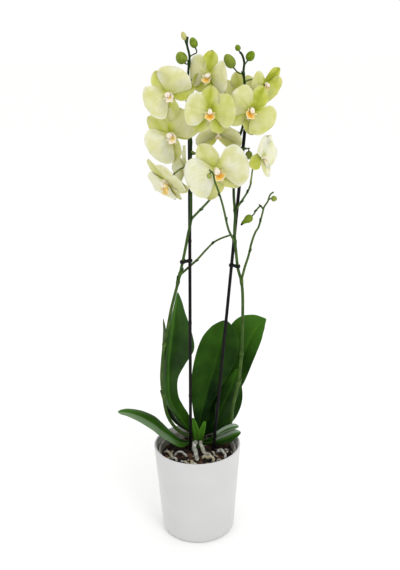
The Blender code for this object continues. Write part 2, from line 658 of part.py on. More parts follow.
def make_spikes():
    """Each flower spike grew as one piece: its main stem, side branches and flower stalks."""
    for name, spike in SPIKES.items():
        start, end, route = spike["main"]
        item = add_object(name, tube_mesh(name, smooth_route(route, 14.0), start, end), "spike_green")
        for start, end, branch in spike["branches"]:
            combine(item, tube_mesh(name, smooth_route(branch, 12.0), start, end, 1), "UNION")
        for bloom, row in BLOOMS.items():
            if row[5] == name or (row[5] == "branch" and name == "spike_right"):
                combine(item, tube_mesh(name, bloom_stalk(bloom, route), *BLOOM_STALK, 1), "UNION")
        for bud, row in BUDS.items():
            if row[4] == name:
                combine(item, tube_mesh(name, bud_stalk(bud), *BUD_STALK, 1), "UNION")


def make_clips():
    """Plant clips: one bent wire that runs round the stake, across, and round the spike."""
    spike_radius = 2.4
    for name, (height, stake, spike) in CLIPS.items():
        here = stake_point(stake, height)
        there = route_point(SPIKES[spike]["main"][2], height)
        spread = there - here
        heading = np.arctan2(spread[1], spread[0])
        around_stake = STAKE_RADIUS + CLIP_WIRE + GAP
        around_spike = spike_radius + CLIP_WIRE + GAP
        route = []
        for angle in np.linspace(-60, 180, 11):
            turn = heading + np.radians(180 - angle)
            route.append((here[0] + around_stake * np.cos(turn), here[1] + around_stake * np.sin(turn)))
        route = route[:8]
        for angle in np.linspace(100, -140, 11):
            turn = heading + np.radians(angle)
            route.append((there[0] + around_spike * np.cos(turn), there[1] + around_spike * np.sin(turn)))
        points = np.array([(x, y, height) for x, y in route], float)
        add_object(name, tube_mesh(name, points, CLIP_WIRE, CLIP_WIRE, 1), "black_plastic")


def main():
    clear_scene()
    make_cover_pot()
    make_nursery_pot()
    make_bark()
    make_stem()
    make_stakes()
    make_roots()
    make_leaves()
    make_spikes()
    make_blooms()
    make_buds()
    make_clips()


main()
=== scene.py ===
"""Looks of a potted moth orchid, made round its packed model.

Tables are in millimetres and turned to metres when a mesh is made. +Z is up, -Y is the side that the
blooms face, and the origin is the centre of the cover pot's flat underside.
"""

import bpy
import numpy as np
from mathutils import Matrix, Vector


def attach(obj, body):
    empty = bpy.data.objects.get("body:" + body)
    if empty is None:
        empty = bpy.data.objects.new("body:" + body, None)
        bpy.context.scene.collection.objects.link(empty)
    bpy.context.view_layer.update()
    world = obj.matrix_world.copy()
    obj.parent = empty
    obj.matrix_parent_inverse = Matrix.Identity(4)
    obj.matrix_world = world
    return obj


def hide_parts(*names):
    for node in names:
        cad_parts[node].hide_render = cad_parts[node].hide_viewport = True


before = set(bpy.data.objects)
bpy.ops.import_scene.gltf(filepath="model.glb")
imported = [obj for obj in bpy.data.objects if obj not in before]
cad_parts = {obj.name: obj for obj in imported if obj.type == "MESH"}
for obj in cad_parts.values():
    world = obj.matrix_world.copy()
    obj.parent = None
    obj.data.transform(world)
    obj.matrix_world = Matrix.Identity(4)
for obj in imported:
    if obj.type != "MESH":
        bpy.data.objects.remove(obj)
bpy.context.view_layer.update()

bl_info = {
    "name": "Potted moth orchid",
    "version": (1, 0, 0),
    "blender": (4, 5, 0),
    "location": "View3D > Sidebar > Orchid",
    "description": "Makes a potted moth orchid with two staked flower spikes",
    "category": "Add Mesh",
}

MM = 0.001
BODY = "root"

# A profile that is turned about Z ends this close to the axis. Pieces that stand in one another keep a gap.
HUB, GAP = 0.02, 0.3
NURSERY_HEIGHT, NURSERY_WALL, NURSERY_FOOT, NURSERY_FLARE, NURSERY_RIBS = 126.0, 1.0, 43.0, 13.6, 48
BARK_TOP = 121.0
BARK_RADIUS = 54.5

# The short stem: its axis, its radius below the leaves, and its own heights and radii.
STEM_AXIS = np.array([0.0, 22.0, 0.0])
STEM_RADIUS = 8.0
STEM_PROFILE = ((104, 7), (112, 7.8), (130, 8), (150, 8), (160, 7), (168, 5), (174, 2.6), (176, 0.6))

# Stakes: where each comes out of the bark, and its top end. Then the height of
# the foot, the length of the rounded tip, and the heights of the small moulded knobs.
STAKES = {
    "stake_left": ((-10.5, 6, 122), (-4, 6, 600)),
    "stake_right": ((24, 6, 122), (70.5, 6, 606)),
}
STAKE_FOOT, STAKE_TIP = 20.0, 3.0
STAKE_KNOBS = (215, 330, 452, 560)

# Leaves: the midrib's line with the half widths of the near and the far half of the blade, the way each
# half spreads (or the way at its foot and the way at its tip), the way the upper side faces, the tones of
# the near half and the far half (their difference is painted light and shade), the midrib (a painted
# highlight), the tip (painted light) and the foot (painted shade where it is below 0), and how much
# painted silvery reflection lies on each half.
LEAVES = {
    "leaf_low_left": (
        [(-8.2, 19, 130, 3.5, 3.5), (-18, 13, 133, 6, 6), (-28, 6, 139, 13, 10), (-40, 0, 151, 18, 14),
         (-56, -2, 166, 20, 18), (-67, -2, 176, 19, 18), (-85, 0, 186, 16, 15), (-102, 4, 190, 11, 11),
         (-118, 8, 190, 7, 7)],
        (0.1, -1, -0.1), (0, 1, 0.1), (0, 0, 1), (0.62, 0.34, 0.1, 0.3, -0.18), (0.45, 0.12)),
    "leaf_tall_left": (
        [(-11.2, 22, 150, 6, 8), (-25, 22, 172, 15, 15), (-35, 22, 187, 17, 17), (-41, 24, 206, 15, 17),
         (-42, 27, 234, 15, 18), (-41, 30, 261, 27, 25), (-38, 33, 288, 39, 31), (-34, 35, 315, 31, 26),
         (-30, 37, 342, 16, 14), (-26, 40, 366, 5, 5)],
        ((1, -0.4, 0.5), (1, -0.4, 0)), ((-0.75, 0.65, 0), (-0.05, 1, 0)), (0.3, -1, 0),
        (0.15, 0.24, 0.34, 0.3, 0.24), (0.12, 0)),
    "leaf_back_left": (
        [(-6.9, 28.5, 141, 3, 4), (-33, 39, 160, 9, 11), (-43, 49, 186, 14, 16), (-46, 55, 220, 17, 19),
         (-46, 57, 269, 17, 19), (-46, 57, 297, 12, 13), (-48, 55, 319, 5, 5)],
        ((-0.5, -0.9, 0), (0.1, -1, 0)), (-0.35, 0.95, 0), (1, 0, 0), (0.1, 0.1, 0.2, 0.3, -0.18), (0, 0)),
    "leaf_front_right": (
        [(4, 12.5, 158, 6, 4), (9, 17, 187, 16, 9), (17, 22, 219, 27, 17), (28, 26, 255, 33, 26),
         (37, 31, 292, 29, 28), (45, 36, 322, 11, 11)],
        (-1, -0.2, 0.25), (1, 0, -0.25), (0, -1, 0), (0.24, 0.1, 0.22, 0.18, -0.16), (0, 0.06)),
    "leaf_back_right": (
        [(7, 30, 152, 4, 4), (28, 42, 172, 11, 8), (42, 48, 185, 17, 10), (61, 54, 218, 27, 13),
         (72, 59, 254, 34, 17), (86, 61, 288, 36, 16), (98, 62, 305, 24, 9), (107, 62, 314, 9, 3)],
        (-0.8, 0.2, 0.45), (0.9, -0.3, -0.35), (0, -1, 0), (0.13, 0.15, 0.24, 0.56, -0.15), (0.06, 0)),
    "leaf_mid_right": (
        [(9.9, 26.2, 141, 4, 4), (30, 31, 163, 9, 10), (42, 34, 190, 12, 15), (54, 36, 216, 12, 14),
         (63, 38, 243, 4, 5)],
        (-0.8, 0.1, 0.4), (0.9, -0.2, -0.3), (0, -1, 0), (0.06, 0.08, 0.2, 0.3, -0.18), (0, 0.1)),
    "leaf_upright_right": (
        [(3, 31.2, 139, 4, 8), (34, 56, 153, 12, 20), (50, 68, 172, 16, 20), (57, 74, 196, 14, 15),
         (60, 78, 221, 5, 4)],
        (-0.9, 0.1, 0.2), (0.95, -0.2, -0.2), (0, -1, 0), (0.1, 0.16, 0.15, 0.3, -0.18), (0, 0)),
    "leaf_low_right": (
        [(9, 17, 129, 3, 4), (25, 15, 132, 3.5, 7), (36, 13, 136, 7.5, 10), (47, 11, 141, 9.5, 11),
         (57, 10, 147, 7.5, 9), (66, 10, 151, 3, 3.5)],
        (0.5, -0.9, -0.1), (-0.3, 0.8, 0.5), (0, 0, 1), (0.06, 0.12, 0.5, 0.3, -0.18), (0.05, 0.75)),
    "leaf_young": (
        [(1, 12, 139, 5, 5), (-1, 10.5, 151, 6, 6), (-4, 9.5, 163, 5, 5), (-7, 9.5, 176, 2.5, 2.5)],
        (-1, -0.1, 0), (1, -0.1, 0), (0, -1, 0), (0.8, 0.85, 0.05, 0.3, -0.18), (0, 0)),
}
# Further small leaves, each added to another leaf's piece.
SECOND_LEAVES = {
    "leaf_young": (
        [(3, 11, 140, 4, 4), (6, 9.5, 150, 5, 5), (9, 9.5, 160, 4, 4), (12, 10.5, 170, 2, 2)],
        (-1, -0.1, 0), (1, -0.1, 0), (0, -1, 0), (0.75, 0.7, 0.05, 0.3, -0.18), (0, 0)),
    "leaf_low_right": (
        [(17, 19, 132, 3, 3), (30, 18, 142, 3.5, 4.5), (43, 16.5, 151, 4, 6), (55, 15, 156.5, 3.5, 6),
         (63, 14.5, 158.5, 2, 3)],
        (0.4, -0.9, -0.4), (-0.3, 0.6, 0.7), (0, -0.3, 1), (0.2, 0.3, 0.3, 0.3, -0.18), (0.45, 0.95)),
}

# Roots: each one's radius and its route over and into the bark.
ROOTS = {
    "root_arch_left": (2.3, [(-35, -7, 117), (-33.5, -9, 126), (-28, -12, 131), (-22, -14, 132),
        (-17.5, -14.5, 126), (-16, -15, 117)]),
    "root_pale_left": (2.6, [(-51, 6, 118), (-47, 0, 126), (-42, -8, 127), (-38, -14, 125),
        (-35, -18, 117)]),
    "root_centre_down": (3.4, [(-2, 12, 134), (-4, 2, 138), (-5, -7, 136), (-2, -16, 130), (-1, -24, 124),
        (-1, -29, 116)]),
    "root_centre_right": (2.8, [(4.5, 11, 135), (5, 3, 137), (7, -7, 135), (11, -11, 129), (19, -11, 124),
        (24, -12, 117)]),
    "root_curl": (2.6, [(8, -19, 117), (9, -20, 125), (14, -22, 128), (20, -23, 128), (24, -26, 125),
        (22, -30, 117)]),
    "root_arch_right": (2.6, [(30, -1, 117), (31, -2, 126), (35, -7, 131), (40, -14, 130), (42, -19, 124),
        (41, -21, 117)]),
}
# How thick a root is drawn, as a share of the radius above: usually, and where it is thinner.
ROOT_USUAL = 0.92
ROOT_THINNER = {"root_arch_left": 0.66, "root_pale_left": 0.75, "root_arch_right": 0.80}
# How brown some roots are.
ROOT_BROWN = {"root_pale_left": 0.5, "root_curl": 0.6, "root_centre_right": 0.15}
# Short stretches of further roots that show between the chips, added to the left arch's piece.
ROOT_BITS = (
    (1.8, [(-41, -16, 119), (-38, -19, 124.5), (-33, -21, 125), (-30, -24, 119)]),
    (2.2, [(-12, -33, 118), (-8, -36, 123.5), (-2, -38, 124), (4, -41, 118)]),
    (1.6, [(27, -26, 118), (31, -27, 124), (36, -25, 124), (39, -21, 118)]),
    (2.0, [(-24, -30, 118), (-19, -29, 123.5), (-14, -31, 123), (-11, -35, 118)]),
    (2.1, [(12, -41, 118), (17, -40, 123), (22, -36, 123.5), (25, -33, 118)]),
    (1.9, [(-20, 44, 118), (-12, 46, 124), (-4, 43, 124), (4, 45, 118)]),
    (2.0, [(44, 12, 118), (43, 6, 124), (45, -1, 124), (43, -8, 118)]),
)
# Fine roots between the chips, added to the same piece: how many, and the start of their random draw.
ROOTLETS, ROOTLET_SEED = 34, 5

# Flower spikes: the main stem with its radii at the two ends, the side branches, and the nodes, each
# with the height on the main stem and the way its bract points, in degrees from +X.
SPIKES = {
    "spike_left": {
        "main": (2.6, 1.5, [
            (-9, 21, 140), (-24, 21, 146), (-36, 16, 161), (-45, 8, 185), (-49, 3, 216), (-51, 2, 245),
            (-49, 2, 273), (-46, 2, 297), (-41, 2, 319), (-34, 2, 354), (-24, 1, 392), (-15, 0, 430),
            (-8, -1, 464), (-4, -1, 484), (-3, -1, 524), (-3, -1, 559), (-2, 0, 588), (-4, 2, 616),
            (-6, 3, 638), (-5, 3, 660), (-4, 3, 680), (-2, 3, 699), (-5, 3, 714), (-4, 3, 724)]),
        "branches": [
            (1.6, 1.2, [(-4, -1, 484), (4, -4, 493), (14, -8, 504), (23, -10, 514), (32, -12, 525),
                (36, -13, 529)]),
            (1.6, 1.1, [(-20, 1, 405), (-16, 6, 407), (-9, 14, 411), (4, 17, 422), (16, 18, 435),
                (27, 18, 446), (37, 17, 452), (47, 14, 456.5), (53, 12, 459)]),
        ],
        "nodes": [(217, 200), (297, -60), (392, 150), (405, 20), (484, -30), (590, 190), (643, 185),
            (690, 180)],
    },
    "spike_right": {
        "main": (2.7, 1.5, [
            (10.5, 26, 129), (21, 33, 127.5), (34, 36, 129), (46, 32, 142), (52, 20, 165), (54, 10, 194),
            (62, 5, 233), (65, 4, 261), (67, 4, 288), (68, 4, 334), (68, 4, 371), (66, 4, 393),
            (61, 1, 413), (58, -1, 440), (56, -2, 466), (57, -2, 490), (55, -2, 520), (56, -3, 558),
            (61, -3, 590), (66, -3, 606), (71, -2, 627), (71, 0, 643), (70, 2, 661), (68, 2, 679),
            (69, 2, 691), (66, 2, 701), (63, 2, 704)]),
        "branches": [
            (1.5, 1, [(56.5, -2, 452), (50, -12, 466), (46, -20, 478), (39, -41, 511), (33, -55, 533),
                (28, -63, 548), (26, -66, 558), (21, -67, 563)]),
            (1.7, 1, [(65, 4, 392), (68, 4, 402), (71, 4, 414), (76, 4, 430), (80, 4, 448), (85, 4, 463),
                (90, 4, 472), (95, 4, 491), (97, 4, 499), (102, 4, 507), (105, 4, 516), (110, 4, 520)]),
            (1.2, 0.9, [(96, 4, 496), (92, 2, 501), (87, 0, 497), (82, -1, 489.5)]),
            (1.4, 1.1, [(57, -2, 496), (63, -2, 505), (69, -2, 514), (75, -2, 524), (79, -1, 535)]),
            (1.2, 0.8, [(59, -3, 583), (66, -1, 581), (72, 2, 580), (77, 3, 580)]),
        ],
        "nodes": [(234, -20), (281, 200), (391, 10), (452, 200), (496, -20), (558, 190), (583, 10),
            (676, 180)],
    },
}

# The main stems turn from green to dark between these heights. The size and reach of the swelling at a
# node, the length and tone of a bract below and above a height, and how much thicker than its radii a side
# branch is drawn at its two ends.
STEM_DARKENS = (430, 600)
NODE_SWELL = (0.55, 3.0)
BRACTS_SHORTEN, LONG_BRACT, SHORT_BRACT = 480, (11.0, 1.0), (5.0, 0.0)
BRANCH_THICKER = (1.12, 1.15)

# Blooms: centre, the way the face looks (degrees right, degrees up), roll to the left, width, the spike
# that carries it, the foot of its stalk (a height on the main stem, or a point), and a point that the
# stalk goes round by.
BLOOMS = {
    "bloom_left_1": ((-29, -24, 654), -15, 0, 40, 72, "spike_left", 644, None),
    "bloom_left_2": ((-28, -14, 602), -15, -5, 48, 78, "spike_left", 593, None),
    "bloom_left_3": ((-35, -19, 541), -50, -35, 35, 76, "spike_left", 560, None),
    "bloom_left_4": ((-10, 45, 550), -100, -10, 0, 62, "spike_left", 574, (10, 15, 571)),
    "bloom_left_5": ((23, -16, 677), -25, -8, -12, 64, "spike_left", 668, None),
    "bloom_left_6": ((23, -41, 633), 0, 0, -3, 66, "spike_left", 624, None),
    "bloom_left_7": ((31, -34, 557), 5, -5, 30, 84, "spike_left", 578, None),
    "bloom_right_1": ((77, -21, 632), 10, 0, -36, 68, "spike_right", 645, None),
    "bloom_right_2": ((97, 10, 664), 40, -20, -25, 60, "spike_right", 667, None),
    "bloom_right_3": ((65, 34, 652), 168, 0, -10, 56, "spike_right", 655, None),
    "bloom_right_4": ((34, -11, 604), 0, -50, 0, 60, "spike_right", 600, None),
    "bloom_right_5": ((93, -4, 568), 64, 0, -15, 64, "spike_right", (78, -1, 533), None),
}
# A petal and a sepal: its length and its half width above and below the midline as shares of the bloom's
# width, the claw's share of the widest part, where along it is widest, and two powers that round the tip.
PETAL = (0.50, 0.315, 0.340, 0.16, 0.54, 2.4, 0.5)
SEPAL = (0.49, 0.185, 0.185, 0.36, 0.46, 2.0, 0.6)
# For the top, left, right, low left and low right tepal of each bloom: degrees it is turned to the left,
# its tone from nearly white (0) to olive (1), and how far its tip leans forward as a share of the width.
# Then the lip's size against the usual and how far its orange gives way to cream.
TEPAL_TURNS = (0, 84, -84, 140, -140)
BLOOM_LOOKS = {
    "bloom_left_1": ((-4, -8, 24, 0, 26), (0.44, 0.2, 0.26, 0.46, 0.52), (0, 0, 0, 0, 0.02), 0.84, 0.62),
    "bloom_left_2": ((8, 0, -6, -8, 26), (0.42, 0.12, 0.34, 0.36, 0.52), (0, 0, 0, 0, 0.02), 0.88, 0.42),
    "bloom_left_3": ((0, 0, -10, 0, 0), (0.3, 0.06, 0.24, 0.26, 0.3), (0, 0.02, 0.02, 0, 0), 1.15, 0),
    "bloom_left_4": ((0, 0, 0, 0, 0), (0.15, 0.06, 0.08, 0.15, 0.15), (0, 0.08, 0.14, 0, 0), 0.7, 0.4),
    "bloom_left_5": ((3, 0, 0, 0, 14), (0.62, 0.2, 0.24, 0.55, 0.74), (0, -0.2, 0.22, 0, 0.04), 0.9, 0.12),
    "bloom_left_6": ((0, -2, 4, 6, -6), (0.54, 0.3, 0.48, 0.52, 0.56), (0, 0, 0, 0, 0), 0.95, 0),
    "bloom_left_7": ((4, -4, -16, -4, -8), (0.32, 0.06, 0.16, 0.42, 0.5), (0.03, 0, 0, 0, 0), 0.86, 0.05),
    "bloom_right_1": ((4, 0, -12, 8, 0), (0.66, 0.34, 0.44, 0.52, 0.55), (0, 0, 0, 0, 0), 1, 0),
    "bloom_right_2": ((-24, 32, -8, 10, 0), (0.78, 0.46, 0.6, 0.66, 0.66), (0.04, 0.02, 0, 0, 0), 0.66,
        0.05),
    "bloom_right_3": ((0, 0, 0, 0, 0), (0.38, 0.32, 0.26, 0.38, 0.38), (0, 0, 0, 0, 0), 0.8, 0),
    "bloom_right_4": ((0, 6, -6, -10, 10), (0.3, 0.24, 0.3, 0.42, 0.42), (0, 0.2, 0.26, 0.34, 0.38), 0.6,
        0.2),
    "bloom_right_5": ((-6, -52, 20, -26, 4), (0.06, 0.03, 0.06, 0.62, 0.14), (0.16, 0.04, 0.12, -0.06, 0.1),
        0.55, 0.3),
}

# Buds: centre, half length, radius, the way of the tip, the spike, the stalk's route, and how yellow it is.
BUDS = {
    "bud_left_tip": ((-9, 4, 725), 5.6, 3.6, (-0.3, 0, 1), "spike_left", [(-5, 3, 712), (-6.6, 3.7, 716)],
        0.72),
    "bud_left_side": ((-12.5, 0, 698), 8.2, 7.6, (-0.5, -0.2, 0.8), "spike_left", [(-2.6, 3, 690),
        (-6, 1.5, 690)], 0.08),
    "bud_left_hook": ((3.5, 2, 716.5), 7, 5.3, (-0.35, 0, 0.94), "spike_left", [(-2, 3, 699), (3, 3, 702),
        (7.5, 2.5, 704.5)], 0.04),
    "bud_right_long": ((50, 4, 693), 10, 7.2, (-0.52, 0, 0.85), "spike_right", [(68, 2, 676),
        (61, 3, 678.5)], 0.12),
    "bud_right_tip": ((60.6, 3, 709.4), 4.2, 3.8, (-0.4, 0, 0.9), "spike_right", [(63.6, 2, 703.4)], 0.05),
    "bud_right_round": ((77, 2, 699), 7, 5.7, (0.55, 0, 0.83), "spike_right", [(68.7, 2, 687)], 0),
    "bud_front_small": ((21, -67, 555), 3.6, 3.2, (-0.2, 0, -1), "spike_right", [(24.5, -66.4, 560.5)],
        0.28),
    "bud_branch_tip": ((110.5, 3, 511), 4.2, 4, (1, 0, -0.1), "spike_right", [(103, 4, 509)], 0.16),
    "bud_branch_side": ((75, -1, 484), 7, 5.5, (-0.8, 0, -0.6), "spike_right", [(83, -1, 491)], 0.04),
    # The next bud's yellow share is partly painted light, lifting it out of the shade that it hangs in.
    "bud_right_low": ((76, 8, 570), 6, 4.8, (0, 0.3, -0.95), "spike_right", [(75, 3, 580)], 0.18),
}

# The withered tip of one bud, as a route, with its radii at the two ends.
BUD_BEAK = ("bud_branch_side", [(72.5, -1, 482), (68.6, -1.2, 479.4), (65, -1.4, 475.2)])
BEAK_RADII = (4.1, 1.0)

# Clips: the height, the stake and the spike. Then the radii of the hooks round the stake and round the
# spike, and how far a hook goes round on each side, in degrees.
CLIPS = {
    "clip_left": (423.5, "stake_left", "spike_left"),
    "clip_right": (416.0, "stake_right", "spike_right"),
}
STAKE_HOOK, SPIKE_HOOK, HOOK_TURN = 3.3, 3.4, 150


# ---------------------------------------------------------------- numbers and colours

def srgb(text):
    """Linear colour of an sRGB hex value: c / 12.92 up to 0.04045, and ((c + 0.055) / 1.055) ^ 2.4 above."""
    share = np.array([int(text[place:place + 2], 16) / 255 for place in (1, 3, 5)])
    linear = np.where(share <= 0.04045, share / 12.92, ((share + 0.055) / 1.055) ** 2.4)
    return tuple(float(value) for value in linear)


def rgba(colour):
    """A hex value as a socket takes it, linear and with full cover. Any other value stays as it is."""
    return (*srgb(colour), 1.0) if isinstance(colour, str) else colour


def unit(vector):
    """Each vector divided by its length."""
    vector = np.asarray(vector, float)
    return vector / np.maximum(np.linalg.norm(vector, axis=-1, keepdims=True), 1e-9)


def ease(value, low, high):
    """Smooth step from 0 at low to 1 at high: 3 q^2 - 2 q^3 with q the share of the way."""
    share = np.clip((value - low) / (high - low), 0, 1)
    return share * share * (3 - 2 * share)


def bell(value, width):
    """exp(-(value / width)^2): 1 in the middle, falling to nothing on both sides."""
    return np.exp(-(np.asarray(value) / width) ** 2)


def around(count):
    """That many even angles of one turn, in radians."""
    return np.arange(count) * 2 * np.pi / count


def polar(radius, angle, height=0.0):
    """Points (radius cos a, radius sin a, height)."""
    return np.stack(np.broadcast_arrays(radius * np.cos(angle), radius * np.sin(angle), height), axis=-1)


def dense(keys):
    """Catmull-Rom curve through rows of numbers, twenty samples to a span."""
    keys = np.asarray(keys, float)
    if len(keys) == 2:
        keys = np.linspace(keys[0], keys[1], 3)
    ends = np.vstack([2 * keys[0] - keys[1], keys, 2 * keys[-1] - keys[-2]])
    spans = len(keys) - 1
    place = np.linspace(0, spans, spans * 20 + 1)
    first = np.minimum(place.astype(int), spans - 1)
    share = (place - first)[:, None]
    a, b, c, d = ends[first], ends[first + 1], ends[first + 2], ends[first + 3]
    return 0.5 * (2 * b + (c - a) * share + (2 * a - 5 * b + 4 * c - d) * share ** 2
                  + (3 * b - a - 3 * c + d) * share ** 3)


def along_route(keys, shares):
    """The curve's rows at the given shares of its length, measured on its first three numbers."""
    curve = dense(keys)
    length = np.concatenate([[0], np.cumsum(np.linalg.norm(np.diff(curve[:, :3], axis=0), axis=1))])
    wanted = np.asarray(shares) * length[-1]
    return np.stack([np.interp(wanted, length, column) for column in curve.T], axis=1), length[-1]


def even_route(keys, spacing):
    """The curve's rows at even steps of about `spacing`."""
    length = along_route(keys, [0])[1]
    return along_route(keys, np.linspace(0, 1, max(4, int(round(length / spacing)) + 1)))[0]


# ---------------------------------------------------------------- grids and meshes

def grid(points, along=0.0, across=0.0, shade=0.0):
    """A closed grid of points (copies, rows, columns, 3) with three numbers at each point for materials."""
    points = np.asarray(points, float)
    if points.ndim == 3:
        points = points[None]
    marks = [np.broadcast_to(np.asarray(value, float), points.shape[:3]) for value in (along, across, shade)]
    return points, np.stack(marks, axis=-1)


def enclosed(points):
    """Volume of each closed grid, summed as a fan: (a x b) . c / 6 over its faces and its two ends."""
    after = np.roll(points, -1, axis=2)
    centre = points.mean(axis=(1, 2), keepdims=True)
    a, b, c, d = (part - centre for part in (points[:, :-1], after[:, :-1], after[:, 1:], points[:, 1:]))
    sides = (np.cross(a, b) * c).sum(-1).sum((1, 2)) + (np.cross(a, c) * d).sum(-1).sum((1, 2))
    first, last = points[:, 0] - centre[:, 0], points[:, -1] - centre[:, 0]
    low = (np.cross(np.roll(first, -1, axis=1), first) * first.mean(1, keepdims=True)).sum((1, 2))
    high = (np.cross(last, np.roll(last, -1, axis=1)) * last.mean(1, keepdims=True)).sum((1, 2))
    return (sides + low + high) / 6


def make_piece(name, grids, material, nodes, sharp=None):
    """Puts closed grids into one mesh: a quad for each cell, and a ring of triangles to a pole at each end."""
    places, marks, quads, tris, start = [], [], [], [], 0
    for points, mark in grids:
        inside_out = enclosed(points) < 0
        points = np.where(inside_out[:, None, None, None], points[:, :, ::-1], points)
        mark = np.where(inside_out[:, None, None, None], mark[:, :, ::-1], mark)
        copies, rows, columns = points.shape[:3]
        each = rows * columns + 2
        index = start + np.arange(copies)[:, None, None] * each
        index = index + np.arange(rows * columns).reshape(1, rows, columns)
        after = np.roll(index, -1, axis=2)
        pole = np.broadcast_to(start + np.arange(copies)[:, None] * each + rows * columns, (copies, columns))
        quads.append(np.stack([index[:, :-1], after[:, :-1], after[:, 1:], index[:, 1:]], -1).reshape(-1, 4))
        tris.append(np.stack([after[:, 0], index[:, 0], pole], -1).reshape(-1, 3))
        tris.append(np.stack([index[:, -1], after[:, -1], pole + 1], -1).reshape(-1, 3))
        for store, values in ((places, points), (marks, mark)):
            ends = np.stack([values[:, 0].mean(1), values[:, -1].mean(1)], axis=1)
            store.append(np.concatenate([values.reshape(copies, -1, 3), ends], axis=1).reshape(-1, 3))
        start += copies * each
    places, marks = np.concatenate(places) * MM, np.concatenate(marks)
    quads, tris = np.concatenate(quads), np.concatenate(tris)
    mesh = bpy.data.meshes.new(name)
    mesh.vertices.add(len(places))
    mesh.vertices.foreach_set("co", places.ravel())
    mesh.loops.add(quads.size + tris.size)
    mesh.loops.foreach_set("vertex_index", np.concatenate([quads.ravel(), tris.ravel()]).astype(np.int32))
    mesh.polygons.add(len(quads) + len(tris))
    starts = np.concatenate([np.arange(len(quads)) * 4, quads.size + np.arange(len(tris)) * 3])
    mesh.polygons.foreach_set("loop_start", starts.astype(np.int32))
    mesh.update(calc_edges=True)
    place = mesh.attributes.new("place", "FLOAT_VECTOR", "POINT")
    place.data.foreach_set("vector", marks.astype(np.float32).ravel())
    mesh.shade_smooth()
    if sharp:
        mesh.set_sharp_from_angle(angle=np.radians(sharp))
    mesh.materials.append(material)
    if mesh.validate():
        raise RuntimeError(name + " has faces that Blender can't use")
    piece = bpy.data.objects.new(name, mesh)
    bpy.context.scene.collection.objects.link(piece)
    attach(piece, BODY)
    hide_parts(*nodes)


def route_frame(points):
    """Side and lift of a route, or of several: side is the tangent crossed with the axis that it leans on
    least, and lift is square to both."""
    tangent = unit(np.gradient(points, axis=-2))
    axis = np.eye(3)[np.argmin(np.abs(tangent).reshape(-1, 3).max(axis=0))]
    side = unit(np.cross(tangent, axis))
    return side, np.cross(side, tangent)


def tube(points, radius, sides=12, flat=(1.0, 1.0), **marks):
    """A ring r (side cos a + lift sin a) carried along a route, or along several with as many rows.
    Radius is one number, one for each row, or one for each row and angle. `flat` squeezes the ring along
    its side and its lift."""
    points, radius, angle = np.asarray(points, float), np.asarray(radius, float), around(sides)
    if radius.ndim < points.ndim:
        radius = np.broadcast_to(radius, points.shape[:-1])[..., None]
    side, lift = (way[..., None, :] for way in route_frame(points))
    ring = side * (np.cos(angle) * flat[0])[:, None] + lift * (np.sin(angle) * flat[1])[:, None]
    marks = {"along": np.linspace(0, 1, points.shape[-2])[:, None], "across": angle / (2 * np.pi), **marks}
    return grid(points[..., None, :] + ring * radius[..., None], **marks)


def lathe(profile, steps, ripple=None, shade=0.0):
    """A profile of (radius, height) turned about Z. `ripple` adds to the radius by height and angle."""
    radius, level = np.split(np.asarray(profile, float), 2, axis=1)
    angle = around(steps)
    if ripple:
        radius = radius + ripple(level, angle)
    return grid(polar(radius, angle, level), np.linspace(0, 1, len(level))[:, None], angle / (2 * np.pi),
                shade)


def sheet(middle, thickness, upper, lower=None, face=None):
    """A sheet with two faces: middle + and - normal x thickness / 2, closed round its edge. The normal is
    the cross product of the grid's two directions, turned towards `face`. `upper` and `lower` are the
    three numbers that each face carries for its material."""
    shape = middle.shape[:2]
    normal = unit(np.cross(np.gradient(middle, axis=1), np.gradient(middle, axis=0)))
    if face is not None:
        normal = normal * np.sign(normal.mean((0, 1)) @ np.array(face, float))
    half = normal * (np.broadcast_to(thickness, shape) / 2)[..., None]
    over, under = (np.stack([np.broadcast_to(np.asarray(value, float), shape) for value in values], axis=-1)
                   for values in (upper, lower or upper))
    return (np.concatenate([middle + half, (middle - half)[:, ::-1]], axis=1)[None],
            np.concatenate([over, under[:, ::-1]], axis=1)[None])


def spindle(centre, way, half_length, radius, sides=20, rows=18, blunt=0.5, furrow=None, **marks):
    """An egg along a direction: radius x (1 - x^2) ^ blunt for x from -1 to 1, with an optional furrow
    factor by x and angle."""
    x = -np.cos(np.linspace(0.06, np.pi - 0.04, rows))[:, None]
    size = radius * (1 - x ** 2) ** blunt
    if furrow:
        size = size * furrow(x, around(sides))
    return tube(np.asarray(centre, float) + unit(way) * x * half_length, size, sides, **marks)


# ---------------------------------------------------------------- materials

# The kinds of node that the materials use: Blender's name for each, its properties, its sockets in the
# order in which a row fills them, and the output that it hands on.
KINDS = {
    "object": ("TexCoord", {}, (), "Object"),
    "attribute": ("Attribute", {"attribute_name": "place"}, (), "Vector"),
    "parts": ("SeparateXYZ", {}, (0,), "X"),
    "stretch": ("Mapping", {}, ("Vector", "Scale"), 0),
    "noise": ("TexNoise", {}, ("Vector", "Scale", "Detail", "Roughness"), 0),
    "range": ("MapRange", {"interpolation_type": "SMOOTHSTEP"}, (0, 1, 2, 3, 4), 0),
    "linear": ("MapRange", {"interpolation_type": "LINEAR"}, (0, 1, 2, 3, 4), 0),
    "mix": ("Mix", {"data_type": "RGBA"}, (0, 6, 7), 2),
    "ramp": ("ValToRGB", {}, (0,), 0),
    "bump": ("Bump", {}, ("Height", "Distance", "Strength"), 0),
    "times": ("Math", {"operation": "MULTIPLY"}, (0, 1), 0),
    "plus": ("Math", {"operation": "ADD"}, (0, 1), 0),
    "wave": ("Math", {"operation": "PINGPONG"}, (0, 1), 0),
    "size": ("Math", {"operation": "ABSOLUTE"}, (0,), 0),
    "sine": ("Math", {"operation": "SINE"}, (0,), 0),
}
# What a material starts from: the place on the piece, and the three numbers that the piece carries.
WHERE = {"where": ("object",)}
MARKED = {**WHERE, "numbers": ("attribute",), "marks": ("parts", "numbers")}
# The nodes that drive the shader, where a material has them.
DRIVEN = {"Base Color": "skin", "Roughness": "gloss", "Normal": "bump"}


